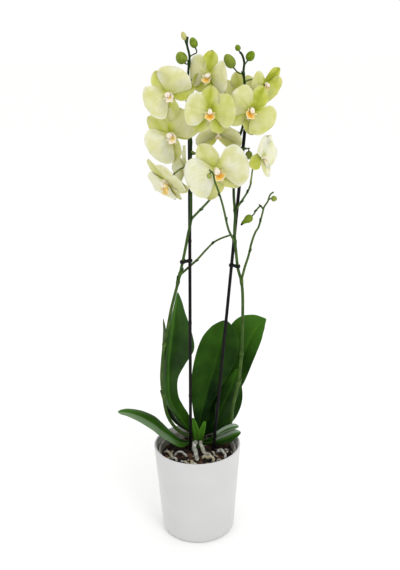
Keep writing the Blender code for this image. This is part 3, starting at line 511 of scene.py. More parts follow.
def add_node(tree, made, name, kind, *values):
    """Adds a node and keeps its outputs by name. Each value in turn fills a socket: a number, a vector, a
    hex colour, or the name of an earlier node, with a dot before one of its other outputs. The values
    left over are the stops of a colour ramp, from low to high."""
    blender_name, properties, sockets, output = KINDS[kind]
    node = tree.nodes.new("ShaderNode" + blender_name)
    for key, value in properties.items():
        setattr(node, key, value)
    for socket, value in zip(sockets, values):
        if isinstance(value, str) and value in made:
            tree.links.new(made[value], node.inputs[socket])
        else:
            node.inputs[socket].default_value = rgba(value)
    # A new ramp has a first and a last stop, so those two are set before the ones between them.
    stops = values[len(sockets):]
    for number, (place, colour) in enumerate(stops[:1] + stops[:0:-1]):
        ramp = node.color_ramp.elements
        stop = ramp[number] if number < 2 else ramp.new(place)
        stop.position, stop.color = place, rgba(colour)
    made[name] = node.outputs[output]
    made.update({name + "." + each.name: each for each in node.outputs})


def new_material(name, constants, nodes):
    """A Principled material: constants on the shader's own sockets, then the nodes in their order."""
    material = bpy.data.materials.new(name)
    material.use_nodes = True
    tree, made = material.node_tree, {}
    shader = tree.nodes["Principled BSDF"]
    for socket, value in constants.items():
        shader.inputs[socket].default_value = value
    for key, row in nodes.items():
        add_node(tree, made, key, *row)
    for socket, key in DRIVEN.items():
        if key in made:
            tree.links.new(made[key], shader.inputs[socket])
    return material


def per_mm(size):
    """The noise scale whose lumps are `size` millimetres across."""
    return 1.0 / (size * MM)


def earthenware(glaze):
    """Cast earthenware under a satin white glaze: even, with very shallow waves (45 mm) where it pooled
    and a few pin pores (0.9 mm). Inside the pot it is painted near white (1 in the piece's tone mark), a
    painted light against the shade there."""
    return new_material("satin glazed earthenware", {
        "IOR": 1.5, "Coat Weight": 0.2, "Coat Roughness": 0.25}, {
        **MARKED,
        "cloud": ("noise", "where", per_mm(45), 1),
        "pore": ("noise", "where", per_mm(0.9), 2),
        "pooled": ("range", "cloud", 0.35, 0.7, 0, 0.25),
        "even": ("mix", "pooled", glaze, "#c0bfbd"),
        "pores": ("range", "pore", 0.72, 0.8, 0, 0.25),
        "glazed": ("mix", "pores", "even", "#aaa69f"),
        # Painted light: the inside wall is mixed towards near white against the shade in the pot.
        "skin": ("mix", "marks.Z", "glazed", "#f6f4f0"),
        "gloss": ("range", "cloud", 0.3, 0.7, 0.36, 0.48),
        "bump": ("bump", "cloud", 0.12 * MM, 0.5),
    })


def clouded_plastic():
    """Clear polypropylene, vacuum formed: thin, grey and half clear, clouded by lime and dust (9 mm)."""
    return new_material("clear polypropylene", {"IOR": 1.49, "Transmission Weight": 0.3}, {
        **WHERE,
        "stain": ("noise", "where", per_mm(9), 4),
        "clouded": ("range", "stain", 0.35, 0.7),
        "skin": ("mix", "clouded", "#cbc7bd", "#a09a8d"),
        "gloss": ("range", "stain", 0.3, 0.7, 0.3, 0.55),
        "bump": ("bump", "stain", 0.1 * MM, 0.4),
    })


def pine_bark():
    """Crushed pine bark: layered plates from black-brown to rust, matt, with a corky grain (1.6 mm)."""
    return new_material("crushed pine bark", {"Specular IOR Level": 0.25}, {
        **MARKED,
        "long": ("stretch", "where", (1, 1, 2.6)),
        "grain": ("noise", "long", per_mm(1.6), 5, 0.65),
        "chip": ("times", "marks.Z", 0.62),
        "speck": ("times", "grain", 0.38),
        "hue": ("plus", "chip", "speck"),
        "skin": ("ramp", "hue", (0.12, "#0a0605"), (0.38, "#1b110c"), (0.56, "#2c1b12"), (0.74, "#432a1b"),
            (0.9, "#76593f")),
        "gloss": ("range", "grain", 0.3, 0.7, 0.65, 0.95),
        "bump": ("bump", "grain", 0.5 * MM, 0.9),
    })


def velamen():
    """Velamen, the spongy skin of an aerial root: silver white where dry, grey-green in patches (4.5 mm)
    where the core shows, brown where it touched the bark (1.4 mm)."""
    return new_material("dry root velamen", {
        "Roughness": 0.8, "Sheen Weight": 0.15, "Sheen Roughness": 0.6}, {
        **MARKED,
        "patch": ("noise", "where", per_mm(4.5), 4, 0.62),
        "spot": ("noise", "where", per_mm(1.4), 3),
        "dry": ("ramp", "patch", (0.3, "#dcdbd6"), (0.44, "#b1b1a9"), (0.58, "#868a7b"), (0.74, "#50543f")),
        "spots": ("range", "spot", 0.56, 0.74, 0, 0.7),
        "soiled": ("mix", "spots", "dry", "#3a3024"),
        "skin": ("mix", "marks.Z", "soiled", "#a8966c"),
        "relief": ("plus", "patch", "spot"),
        "bump": ("bump", "relief", 0.35 * MM, 0.8),
    })


def leaf_tissue(dark, light):
    """Moth orchid leaf: thick, dark and waxy above, with fine veins along it (about 3 mm apart), paler and
    purplish at the edges below. The piece's marks are the place across the blade, the tone, which carries
    painted light and shade, and the side: 1 for the underside and towards -1 where a silvery reflection is
    painted."""
    return new_material("waxy orchid leaf", {"IOR": 1.45, "Specular IOR Level": 0.05}, {
        **MARKED,
        "cloud": ("noise", "where", per_mm(34), 2),
        "long": ("stretch", "where", (1, 1, 0.25)),
        "fine": ("noise", "long", per_mm(1.8), 3),
        "fan": ("times", "marks.X", 9),
        "lines": ("plus", "fan", "cloud"),
        "line": ("wave", "lines", 0.5),
        "vein": ("range", "line", 0, 0.1, 1, 0),
        "drift": ("range", "cloud", 0.3, 0.7, -0.07, 0.09),
        "tone": ("plus", "marks.Y", "drift"),
        "fill": ("mix", "tone", dark, light),
        "drawn": ("times", "vein", 0.22),
        "veined": ("mix", "drawn", "fill", "#0b1d06"),
        # Painted reflection: a silvery grey-green mixed in where the side mark falls below 0.
        "wax": ("range", "marks.Z", 0, -1, 0, 1),
        "waxed": ("mix", "wax", "veined", "#8b9a86"),
        "below": ("range", "marks.Z", 0.2, 0.8, 0, 0.85),
        "sided": ("mix", "below", "waxed", "#30491b"),
        "reach": ("size", "marks.X"),
        "margin": ("range", "reach", 0.8, 1, 0, 0.7),
        "purple": ("times", "margin", "below"),
        "rimmed": ("mix", "purple", "sided", "#56413a"),
        "dust": ("range", "fine", 0.66, 0.8, 0, 0.16),
        "skin": ("mix", "dust", "rimmed", "#8fa070"),
        "gloss": ("range", "cloud", 0.3, 0.7, 0.32, 0.44),
        "ridge": ("times", "fine", 0.4),
        "relief": ("plus", "vein", "ridge"),
        "bump": ("bump", "relief", 0.14 * MM, 0.4),
    })


def spike_tissue():
    """Orchid flower spike: a firm green stem, mottled along its length (5 mm) and speckled (1.1 mm). The
    piece's tone runs from dark green (-1) through green (0) and light green (1) to pale (2)."""
    return new_material("orchid flower spike", {"IOR": 1.45, "Specular IOR Level": 0.1}, {
        **MARKED,
        "long": ("stretch", "where", (1, 1, 0.35)),
        "mottle": ("noise", "long", per_mm(5), 4),
        "speck": ("noise", "where", per_mm(1.1), 3),
        "uneven": ("range", "mottle", 0.35, 0.7, -0.3, 0.3),
        "tone": ("plus", "marks.Z", "uneven"),
        "place": ("linear", "tone", -1.2, 2.2),
        "green": ("ramp", "place", (0.05, "#14250b"), (0.35, "#2a4218"), (0.62, "#4a622c"),
            (0.95, "#9aa25a")),
        "specks": ("range", "speck", 0.6, 0.75, 0, 0.45),
        "skin": ("mix", "specks", "green", "#2a2a16"),
        "gloss": ("range", "mottle", 0.3, 0.7, 0.38, 0.52),
        "bump": ("bump", "mottle", 0.15 * MM, 0.5),
    })


def stake_plastic():
    """Steel rod in extruded polyethylene: nearly black with a plum tone, satin, scuffed along (2 mm)."""
    return new_material("extruded black polyethylene", {"IOR": 1.5, "Specular IOR Level": 0.12}, {
        **WHERE,
        "long": ("stretch", "where", (1, 1, 0.12)),
        "scuff": ("noise", "long", per_mm(2), 4),
        "worn": ("range", "scuff", 0.5, 0.8),
        "skin": ("mix", "worn", "#0b080a", "#221b1f"),
        "gloss": ("range", "scuff", 0.3, 0.75, 0.34, 0.52),
        "bump": ("bump", "scuff", 0.08 * MM, 0.6),
    })


def clip_plastic():
    """Moulded black ABS: even and semi-gloss, with a faint mould grain (0.6 mm)."""
    return new_material("moulded black ABS", {"IOR": 1.52, "Roughness": 0.4, "Specular IOR Level": 0.12}, {
        **WHERE,
        "grain": ("noise", "where", per_mm(0.6), 2),
        "skin": ("mix", "grain", "#080708", "#121113"),
        "bump": ("bump", "grain", 0.04 * MM, 0.5),
    })


def petal_tissue(pale, cream, green, olive):
    """Orchid petal: thin flesh that light soaks into, with fan veins that wander (11 mm) and a fine sparkle
    of cells (0.7 mm). The piece's marks are the place along, the place across, and the tone, from nearly
    white (0) through cream and green to olive (1)."""
    return new_material("orchid petal", {
        "IOR": 1.4, "Roughness": 0.5, "Specular IOR Level": 0.12, "Subsurface Weight": 0.35,
        "Subsurface Scale": 1, "Subsurface Radius": (0.0034, 0.0033, 0.0016)}, {
        **MARKED,
        "cloud": ("noise", "where", per_mm(11), 2),
        "cells": ("noise", "where", per_mm(0.7), 2),
        "fan": ("times", "marks.Y", 5.5),
        "wander": ("times", "cloud", 1.3),
        "lines": ("plus", "fan", "wander"),
        "line": ("wave", "lines", 0.5),
        "drawn": ("range", "line", 0, 0.16, 1, 0),
        "fade": ("range", "marks.X", 0.3, 0.95, 1, 0),
        "vein": ("times", "drawn", "fade"),
        "drift": ("range", "cloud", 0.3, 0.7, -0.07, 0.09),
        "tone": ("plus", "marks.Z", "drift"),
        "fill": ("ramp", "tone", (0.02, pale), (0.27, cream), (0.72, green), (1, olive)),
        "faint": ("times", "vein", 0.18),
        "skin": ("mix", "faint", "fill", "#9aa548"),
        "sunk": ("times", "vein", -0.7),
        "relief": ("plus", "sunk", "cells"),
        "bump": ("bump", "relief", 0.16 * MM, 0.4),
    })


def lip_tissue(deep, yellow):
    """Orchid lip and column: waxy flesh from deep orange (0) through yellow and cream to a pinkish white
    (1), mottled (2.5 mm), with short red-brown bars across the base of the lobes."""
    return new_material("orchid lip", {
        "IOR": 1.42, "Roughness": 0.42, "Specular IOR Level": 0.25, "Subsurface Weight": 0.15,
        "Subsurface Scale": 1, "Subsurface Radius": (0.002, 0.0012, 0.0006)}, {
        **MARKED,
        "cloud": ("noise", "where", per_mm(2.5), 3),
        "drift": ("range", "cloud", 0.3, 0.7, -0.1, 0.1),
        "tone": ("plus", "marks.Z", "drift"),
        "fill": ("ramp", "tone", (0.02, deep), (0.26, yellow), (0.5, "#e8d491"), (0.76, "#ece3c2"),
            (1, "#ebdfd7")),
        "fan": ("times", "marks.Y", 22),
        "shaken": ("times", "cloud", 5),
        "phase": ("plus", "fan", "shaken"),
        "stripe": ("sine", "phase"),
        "bars": ("range", "stripe", 0.7, 0.95, 0, 0.22),
        "base": ("range", "marks.X", 0.15, 0.6, 0.55, 0),
        "orange": ("range", "marks.Z", 0.7, 0.95, 1, 0),
        "barred": ("times", "bars", "base"),
        "drawn": ("times", "barred", "orange"),
        "skin": ("mix", "drawn", "fill", "#94461a"),
        "bump": ("bump", "cloud", 0.2 * MM, 0.4),
    })


def bud_tissue():
    """Closed orchid bud: smooth waxy green sepals (mottled at 3.5 mm), yellower at the tip and seams,
    and dark and dry where the tone mark is below 0."""
    return new_material("orchid bud", {
        "IOR": 1.43, "Roughness": 0.4, "Specular IOR Level": 0.06, "Subsurface Weight": 0.1,
        "Subsurface Scale": 1, "Subsurface Radius": (0.002, 0.003, 0.001)}, {
        **MARKED,
        "cloud": ("noise", "where", per_mm(3.5), 3),
        "uneven": ("range", "cloud", 0.3, 0.7),
        "green": ("mix", "uneven", "#54700c", "#748a22"),
        "thirds": ("times", "marks.Y", 3),
        "seam": ("wave", "thirds", 0.5),
        "seams": ("range", "seam", 0, 0.08, 0.4, 0),
        "seamed": ("mix", "seams", "green", "#8c9c3a"),
        "tip": ("range", "marks.X", 0.6, 1, 0, 0.45),
        "tipped": ("mix", "tip", "seamed", "#8c9c30"),
        "paled": ("mix", "marks.Z", "tipped", "#d0c888"),
        "dry": ("range", "marks.Z", 0, -1),
        "skin": ("mix", "dry", "paled", "#2c2614"),
        "bump": ("bump", "cloud", 0.15 * MM, 0.3),
    })


def paper(colour):
    """Matt background paper: pale and even, with a barely visible fibre (6 mm)."""
    return new_material("matt background paper", {"Roughness": 0.9, "Specular IOR Level": 0.1}, {
        **WHERE,
        "fibre": ("noise", "where", per_mm(6), 2),
        "faint": ("range", "fibre", 0.3, 0.7, 0, 0.2),
        "skin": ("mix", "faint", colour, "#f8f8f6"),
    })


# ---------------------------------------------------------------- shapes of the plant

def arc(centre, radius, start, end, count):
    """Points centre + radius (cos a, sin a) from one angle in degrees to another."""
    angle = np.radians(np.linspace(start, end, count))
    return [(centre[0] + radius * np.cos(a), centre[1] + radius * np.sin(a)) for a in angle]


def blade(keys, near_way, far_way, face, tones, wax, thickness, rows=72):
    """A strap leaf. Station q lies on the midrib at 1 - (1 - q)^1.5 of its length. Column f runs from
    -1 at the near edge to 1 at the far edge: midrib + way |f| width, raised by 0.22 |f| (1 - |f|) width,
    sunk by a bell-shaped groove at the midrib and waved towards the edges. Widths close round the tip
    like a circle. The tone is one number for each half, their difference being painted light and shade,
    and grows by the third within 2 mm of the midrib (a painted highlight), by the fourth towards the tip
    (painted light) and by the fifth towards the foot (painted shade where it is below 0). The thin margin
    is lighter. A painted silvery reflection lies on each half by the share given for that half."""
    q = 1 - (1 - np.linspace(0, 1, rows)) ** 1.5
    line = along_route(keys, q)[0]
    spine, widths = line[:, :3], line[:, 3:]
    cap = np.sqrt(1 - 0.97 * np.clip((q - 0.92) / 0.08, 0, 1) ** 2)
    widths = widths * cap[:, None]
    tangent = unit(np.gradient(spine, axis=0))
    ways = []
    for ends in (near_way, far_way):
        start, end = np.atleast_2d(np.array(ends, float))[[0, -1]]
        way = start + (end - start) * q[:, None]
        ways.append(unit(way - tangent * (way * tangent).sum(1, keepdims=True)))
    normal = unit(np.cross(ways[1] - ways[0], tangent))
    normal = normal * np.sign(normal.mean(0) @ np.array(face, float))
    f = np.sin(np.linspace(-1, 1, 25) * np.pi / 2)
    near = f < 0
    reach = np.abs(f) * np.where(near, widths[:, :1], widths[:, 1:])
    way = np.where(near[None, :, None], ways[0][:, None], ways[1][:, None])
    wave = 0.7 * np.sin(q * 9.0 + len(keys))[:, None] * f ** 3 * ease(q, 0.1, 0.4)[:, None]
    lift = 0.07 * np.pi * reach * (1 - np.abs(f)) - 1.3 * bell(reach, 2.2) * cap[:, None] + wave
    middle = spine[:, None] + way * reach[..., None] + normal[:, None] * lift[..., None]
    solid = thickness * (0.42 + 0.58 * (1 - f ** 2)) * (1.25 - 0.5 * q[:, None])
    solid = (solid + 1.1 * bell(reach, 3.0) * (1 - q[:, None])) * (0.35 + 0.65 * cap[:, None])
    tone = (np.where(near, tones[0], tones[1]) + tones[2] * bell(reach, 1.9)
            + 0.14 * ease(np.abs(f), 0.93, 1.0) + tones[3] * ease(q, 0.6, 1.0)[:, None]
            + tones[4] * ease(q, 0.5, 0.0)[:, None])
    # Painted reflection: a silvery sheen marked on each half, away from the midrib and past the foot.
    glow = ease(np.abs(f), 0.1, 0.5) * ease(q, 0.15, 0.4)[:, None]
    sheen_mark = -np.where(near, wax[0], wax[1]) * glow
    return sheet(middle, solid, (f, tone, sheen_mark), (f, tone * 0 + 0.5, 1.0), face)


def sheath(heading, low, high, radius, tone):
    """A leaf's foot that clasps the stem: an arc about the stem's axis whose half angle falls from 95
    to 25 degrees on the way up and whose radius swells in the middle."""
    q, t = np.linspace(0, 1, 14)[:, None], np.linspace(-1, 1, 17)
    turn = np.radians(95 - 70 * ease(q, 0.1, 1.0)) * t
    size = radius + 1.2 * np.sin(np.pi * q) + 0.4 * np.cos(turn)
    middle = STEM_AXIS + polar(size, heading + turn, low + (high - low) * q)
    return sheet(middle, 1.2, (t, tone + 0.2 * (1 - q), 1.0), (t, tone, 0.0), polar(1.0, heading))


def smooth_tube(keys, start, end, spacing=3.0, sides=12, swell=(), **marks):
    """A tube whose radius runs evenly from start to end, plus bell-shaped swellings (height, size, reach)."""
    points = even_route(keys, spacing)
    radius = np.linspace(start, end, len(points))
    for height, size, reach in swell:
        radius = radius + size * bell(points[:, 2] - height, reach)
    return tube(points, radius, sides, **marks)


def route_point(keys, height):
    """The point of a rising route at a height, with the route's direction there."""
    points = even_route(keys, 1.0)
    place = int(np.argmin(np.abs(points[:, 2] - height)))
    ahead = points[min(place + 2, len(points) - 1)] - points[max(place - 2, 0)]
    return points[place], unit(ahead)


def bract(point, way, pointing, radius, length=9.0, tone=0.9):
    """A scale that sheathes a node: an arc round the stem, half angle 150 degrees at its foot and none
    at its tip, lying on the stem and leaving it a little towards the tip."""
    q, t = np.linspace(0, 1, 9)[:, None], np.linspace(-1, 1, 13)
    spin = polar(1.0, np.radians(pointing))
    front = unit(spin - way * (spin * way).sum())
    cross = np.cross(way, front)
    angle = np.radians(150) * (1 - q) ** 0.7 * t
    size = radius + 0.25 + 0.9 * q ** 2
    middle = (point + way * (q * length)[..., None]
              + (front * np.cos(angle)[..., None] + cross * np.sin(angle)[..., None]) * size[..., None])
    return sheet(middle, 0.45, (q, t, tone - 1.2 * q))


def bloom_axes(right, up, roll):
    """Unit vectors to a bloom's right, to its top and out of its face, as seen from in front."""
    right, up, roll = np.radians([right, up, roll])
    face = np.array([np.sin(right) * np.cos(up), -np.cos(right) * np.cos(up), np.sin(up)])
    top = unit(np.array([0, 0, 1]) - face * face[2])
    side = np.cross(top, face)
    return side * np.cos(roll) + top * np.sin(roll), top * np.cos(roll) - side * np.sin(roll), face


def stalk_keys(name, route):
    """A bloom's stalk: out of the spike, round behind the bloom and square on to its back."""
    centre, right, up, roll, _, _, foot, way_round = BLOOMS[name]
    face = bloom_axes(right, up, roll)[2]
    end = np.array(centre, float) - face * 0.8
    start = np.array(foot, float) if isinstance(foot, tuple) else route_point(route, foot)[0]
    behind = end - face * 10
    middle = way_round or (start + behind) / 2 + [0, 0, 2]
    return [start, middle, behind, (behind + end) / 2, end]


def petals_of(name):
    """Five tepals on one centre. A tepal's point is centre + out u + sideways v + face h, where u = L q,
    v = w half(q), half(q) rises smoothly from a narrow claw and closes like a circle at the tip, and
    h = spread q - bend q^2 + fold |w| + groove at the midline + ruffle of the edge. The outline wanders
    by two slow waves. The three sepals lie behind the two petals."""
    centre, right, up, roll, width = BLOOMS[name][:5]
    side, top, face = bloom_axes(right, up, roll)
    turns, tones, leans = BLOOM_LOOKS[name][:3]
    draw = np.random.default_rng(sum(name.encode()))
    q = (1 - np.cos(np.linspace(0, 1, 40) ** 0.85 * np.pi))[:, None] / 2 * 0.997 + 0.002
    w = np.sin(np.linspace(-1, 1, 33) * np.pi / 2)
    made = []
    for number, (usual, turn, tone, lean) in enumerate(zip(TEPAL_TURNS, turns, tones, leans)):
        petal = number in (1, 2)
        outward = 1 if number == 2 else -1
        angle = np.radians(usual + turn)
        out = top * np.cos(angle) - side * np.sin(angle)
        sideways = side * np.cos(angle) + top * np.sin(angle)
        reach, upper, lower, claw, widest, blunt, power = PETAL if petal else SEPAL
        length = width * reach * draw.uniform(0.97, 1.03)
        phase = draw.uniform(0, 6.3, 6)
        half = width * np.where(w * outward < 0, upper, lower)
        rise = claw + (1 - claw) * ease(q, -0.05, widest)
        cap = (1 - np.clip((q - widest) / (1 - widest), 0, 1) ** blunt) ** power
        wander = 1 + np.abs(w) * (0.045 * np.sin(q * 5.5 + phase[0] + w) + 0.03 * np.sin(q * 11 + phase[1] - w))
        v = w * half * rise * cap * wander
        lobes = 0.045 * np.sin(w * 2.6 + phase[2]) + 0.03 * np.sin(w * 6 + phase[3])
        u = length * q * (1 + lobes * q ** 2 * cap)
        fold = draw.uniform(-0.055, 0.02)
        edge = np.abs(w) ** 2.5
        ruffle = (np.sin(q * 7.5 + phase[4] + w) * edge + 0.5 * np.sin(q * 15 + phase[5] + 2 * w) * edge
                  + 0.6 * np.sin(w * 4 + phase[1]) * q ** 3) * ease(q, 0.1, 0.5)
        if petal:
            h = (0.012 + 0.10 * q - (0.055 - lean) * q ** 2 + fold * np.sqrt(w ** 2 + 0.01) * ease(q, 0, 0.5)
                 - 0.016 * bell(w, 0.08) * ease(q, 1.0, 0.15) - 0.010 * bell(np.abs(w) - 0.5, 0.14) * (1 - q)
                 + 0.019 * ruffle)
        else:
            h = (-0.012 - 0.02 * q - (0.045 - lean) * q ** 2 + (0.030 - 0.5 * fold) * w ** 2 * ease(q, 0, 0.4)
                 + 0.012 * bell(w, 0.2) * ease(q, 1.0, 0.2) + 0.012 * ruffle)
        middle = (np.array(centre, float) + out * u[..., None] + sideways * v[..., None]
                  + face * (h * width)[..., None])
        solid = (0.4 + 0.6 * (1 - w ** 2)) * (1.15 - 0.5 * q) * (0.4 + 0.6 * cap) + 0.9 * bell(q, 0.10)
        patch = 0.05 * np.sin(w * 3 + q * 4 + phase[2]) + 0.04 * np.sin(w * 5 - q * 7 + phase[3])
        # The base is greener, partly the tepal's own olive near the lip and partly painted shade where the
        # tepals meet. Beside a petal's midline crease, the darker line on one side is painted shade and the
        # lighter line on the other is a painted highlight.
        if petal:
            shade = (tone + 0.38 * bell(q - 0.08, 0.17) * (1 - 0.5 * w * outward) + patch
                     + 0.10 * bell(w - 0.05, 0.06) * (1 - q) - 0.12 * bell(w + 0.04, 0.05) * (1 - 0.5 * q))
        else:
            shade = tone + 0.16 * bell(w, 0.35) + 0.20 * bell(q, 0.35) + patch
        shade = shade - 0.16 * ease(np.abs(w), 0.84, 1.0) - 0.10 * ease(q, 0.75, 1.0)
        made.append(sheet(middle, solid, (q, w, np.clip(shade, 0, 1))))
    return made


def lip_of(name):
    """The lip and the column. The middle lobe is a scoop: x = half(q) sin(1.45 t), y = a - b q + c t^2,
    z = d + e sin(2 q) + f |t|^2.2, with its rims drawn up and two curled threads at its tip. The side
    lobes are upright ears beside the column, the callus is a pair of small knobs, and the column is a
    short club that leans over the lip and ends in a cap of two lobes."""
    centre, right, up, roll, width = BLOOMS[name][:5]
    side, top, face = bloom_axes(right, up, roll)
    centre = np.array(centre, float)
    size, cream = BLOOM_LOOKS[name][3:]
    stout = width * size ** 0.5

    def at(x, y, z):
        """The point x to the right, y to the top and z out of the face, as shares of the width."""
        x, y, z = (value[..., None] for value in np.broadcast_arrays(x, y, z))
        return centre + (side * x + top * y + face * z) * width

    made = []
    q, t = np.linspace(0, 1, 24)[:, None], np.sin(np.linspace(-1, 1, 19) * np.pi / 2)
    half = size * (0.042 + 0.062 * bell(q - 0.42, 0.34)) * (1 - q ** 3.2) ** 0.5 + 0.003
    y = -0.052 - size * (0.130 * q + 0.010 * np.sin(q * 3.1)) + size * 0.022 * t ** 2
    z = 0.056 + size * (0.085 * np.sin(q * 2.0) + 0.050 * np.abs(t) ** 2.2 * bell(q - 0.35, 0.45)
                        - 0.008 * bell(t, 0.2))
    tone = 0.03 + cream + 0.42 * ease(np.abs(t), 0.10, 1.0) + 0.50 * ease(q, 0.30, 1.0)
    made.append(sheet(at(np.sin(1.45 * t) * half, y, z), 0.012 * width * (1.1 - 0.5 * q),
                      (q, t, np.clip(tone, 0, 0.90))))
    for hand in (-1, 1):
        rim = np.sqrt(1 - 0.94 * q ** 3)
        x = hand * size * (0.028 + 0.062 * np.sin(q * 1.6) + 0.012 * t)
        y = -0.066 + size * (0.036 * q ** 1.3 + 0.054 * t * rim * (0.5 + 0.5 * ease(q, 0, 0.4)))
        z = 0.052 + size * (0.092 * q - 0.024 * (1 - t ** 2) * q)
        tone = 0.14 + cream + 0.46 * ease(q, 0.05, 0.75) + 0.14 * np.abs(t) ** 3
        made.append(sheet(at(x, y, z), 0.010 * width * (1.1 - 0.5 * q), (q, t, np.clip(tone, 0, 0.95))))
        turn = np.linspace(0, 1, 16)
        thread = at(hand * size * (0.006 + 0.030 * np.sin(turn * 2.6)),
                    -0.052 - size * (0.132 + 0.010 * np.sin(turn * 3.0)), 0.056 + size * (0.078 + 0.03 * turn))
        made.append(tube(thread, 0.005 * width * (1 - 0.7 * turn), 8, shade=0.70))
        made.append(spindle(at(hand * 0.016, -0.050, 0.090), face + top * 0.6, 0.022 * width, 0.013 * width,
                            12, 9, shade=0.5))
        made.append(spindle(at(hand * 0.022, -0.008, 0.108), face - top * 0.6 + side * hand * 0.5,
                            0.034 * stout, 0.028 * stout, 14, 10, shade=0.94))
    reach = np.linspace(0, 1, 16)
    club = at(0.0, 0.004 + 0.010 * reach - 0.022 * reach ** 2, 0.010 + 0.108 * reach)
    girth = np.interp(reach, [0, 0.25, 0.7, 0.88, 0.96, 1], [0.050, 0.044, 0.048, 0.046, 0.034, 0.014])
    made.append(tube(club, girth * stout, 18, (1.25, 0.9), shade=0.92))
    made.append(spindle(at(0.0, -0.036, 0.112), face - top * 1.2, 0.020 * width, 0.012 * width, 12, 8,
                        shade=0.62))
    return made


def rounded(value, power):
    """The size of each number raised to a power, with its sign kept."""
    return np.sign(value) * np.abs(value) ** power


def turned(angle, axis):
    """Turns by several angles about one axis, as matrices: cos and -sin, sin and cos in the other two."""
    one, two = (axis + 1) % 3, (axis + 2) % 3
    matrix = np.zeros((len(angle), 3, 3))
    matrix[:, axis, axis] = 1
    matrix[:, one, one] = matrix[:, two, two] = np.cos(angle)
    matrix[:, two, one] = np.sin(angle)
    matrix[:, one, two] = -np.sin(angle)
    return matrix


def chips(count, scale, seed):
    """Bark chips: balls made boxy by powers of their sines and cosines, roughened at random, curled by
    k x^2 and turned at random. Chip n lies on a sunflower spiral over a disc, at R sqrt(n / count) from
    its middle and n golden angles round."""
    draw = np.random.default_rng(seed)
    lat, lon = np.linspace(-0.49, 0.49, 6)[:, None] * np.pi, around(9)
    shape = np.stack([rounded(np.cos(lat), 0.45) * rounded(np.cos(lon), 0.5),
                      rounded(np.cos(lat), 0.45) * rounded(np.sin(lon), 0.5),
                      rounded(np.sin(lat), 0.5) + 0 * lon], axis=-1)
    shape = shape * (1 + draw.uniform(-0.16, 0.16, (count, 6, 9, 1)))
    size = [draw.uniform(low, high, count) for low, high in ((3.4, 8.5), (2.4, 5.2), (1.1, 2.4))]
    shape = shape * (np.stack(size, -1) * scale)[:, None, None]
    shape[..., 2] += 0.035 * shape[..., 0] ** 2 * draw.uniform(-1, 1, (count, 1, 1))
    spin = draw.uniform(0, 2 * np.pi, count)
    tilt, lean = (draw.normal(0, spread, count) for spread in (0.42, 0.3))
    turn = turned(spin, 2) @ turned(tilt, 1) @ turned(lean, 0)
    number = np.arange(count) + 0.5
    radius = (BARK_RADIUS - 5.0) * np.sqrt(number / count)
    angle = number * np.pi * (3 - np.sqrt(5))
    height = BARK_TOP + draw.uniform(-1.6, 2.6, count) + 0.9 * np.sin(radius / 6.0 + angle)
    points = np.einsum("nij,nrcj->nrci", turn, shape) + polar(radius, angle, height)[:, None, None]
    return grid(points, shade=draw.uniform(0, 1, (count, 1, 1)))


# ---------------------------------------------------------------- settings

def length_setting(name, description, default):
    """A length that a user can change, given here in millimetres."""
    return bpy.props.FloatProperty(name=name, description=description, default=default * MM, min=0.0,
                                   unit="LENGTH", subtype="DISTANCE", precision=4)


def colour_setting(name, description, text):
    """A colour that a user can change."""
    return bpy.props.FloatVectorProperty(name=name, description=description, subtype="COLOR", size=3,
                                         min=0.0, max=1.0, default=srgb(text))


def in_mm(settings, *names):
    """Lengths of a group in millimetres."""
    return [getattr(settings, name) / MM for name in names]


def in_rgba(settings, *names):
    """Colours of a group as sockets take them."""
    return [(*getattr(settings, name), 1.0) for name in names]


class OrchidPotSettings(bpy.types.PropertyGroup):
    """Pots and bark"""
    height: length_setting("Height", "Height of the cover pot", 140.0)
    rim_radius: length_setting("Rim radius", "Outer radius of the cover pot's rim", 65.0)
    base_radius: length_setting("Base radius", "Outer radius at the cover pot's foot", 54.2)
    wall: length_setting("Wall", "Thickness of the cover pot's wall", 3.2)
    floor: length_setting("Floor", "Thickness of the cover pot's floor", 5.0)
    edge: length_setting("Lower edge", "Radius of the rounded lower edge", 6.0)
    glaze: colour_setting("Glaze", "Colour of the glaze", "#c7c7c7")
    chips: bpy.props.IntProperty(name="Chips", description="Number of bark chips", default=520, min=1)
    chip_size: bpy.props.FloatProperty(name="Chip size", description="Size of the chips against the usual",
                                       default=0.85, min=0.1, max=3.0, subtype="FACTOR")
    seed: bpy.props.IntProperty(name="Seed", description="Start of the chips' random draw", default=11, min=0)


class OrchidPlantSettings(bpy.types.PropertyGroup):
    """Leaves, stems and stakes"""
    leaf_thickness: length_setting("Leaf thickness", "Thickness of a leaf beside its midrib", 1.9)
    leaf_dark: colour_setting("Dark leaf", "Leaf colour in its darkest parts", "#041c01")
    leaf_light: colour_setting("Light leaf", "Leaf colour in its brightest parts", "#45761f")
    stake_radius: length_setting("Stake radius", "Radius of a stake", 2.3)
    bloom_stalk: length_setting("Bloom stalk", "Radius of a bloom's stalk", 1.15)
    bud_stalk: length_setting("Bud stalk", "Radius of a bud's stalk", 0.85)


class OrchidBloomSettings(bpy.types.PropertyGroup):
    """Blooms"""
    pale: colour_setting("Pale", "Petal colour where it is nearly white", "#d8d8c0")
    cream: colour_setting("Cream", "Usual petal colour", "#c9c897")
    green: colour_setting("Green", "Colour of the green parts", "#abb14a")
    olive: colour_setting("Olive", "Colour of the greenest parts", "#88921f")
    deep: colour_setting("Lip", "Colour in the depth of the lip", "#dc9a34")
    yellow: colour_setting("Lip margin", "Colour that the lip turns to outwards", "#e8c058")


class OrchidStageSettings(bpy.types.PropertyGroup):
    """Floor, lights and camera"""
    floor: colour_setting("Floor", "Colour of the floor", "#fdfdfc")
    key: bpy.props.FloatProperty(name="Key light", description="Power of the main light", default=8.0,
                                 unit="POWER")
    fill: bpy.props.FloatProperty(name="Fill light", description="Power of the fill light", default=0.6,
                                  unit="POWER")
    sky: bpy.props.FloatProperty(name="Sky", description="Strength of the light from all round", default=1.03,
                                 subtype="FACTOR")
    lens: bpy.props.FloatProperty(name="Lens", description="Focal length of the camera", default=49.2,
                                  unit="CAMERA")


# ---------------------------------------------------------------- operators

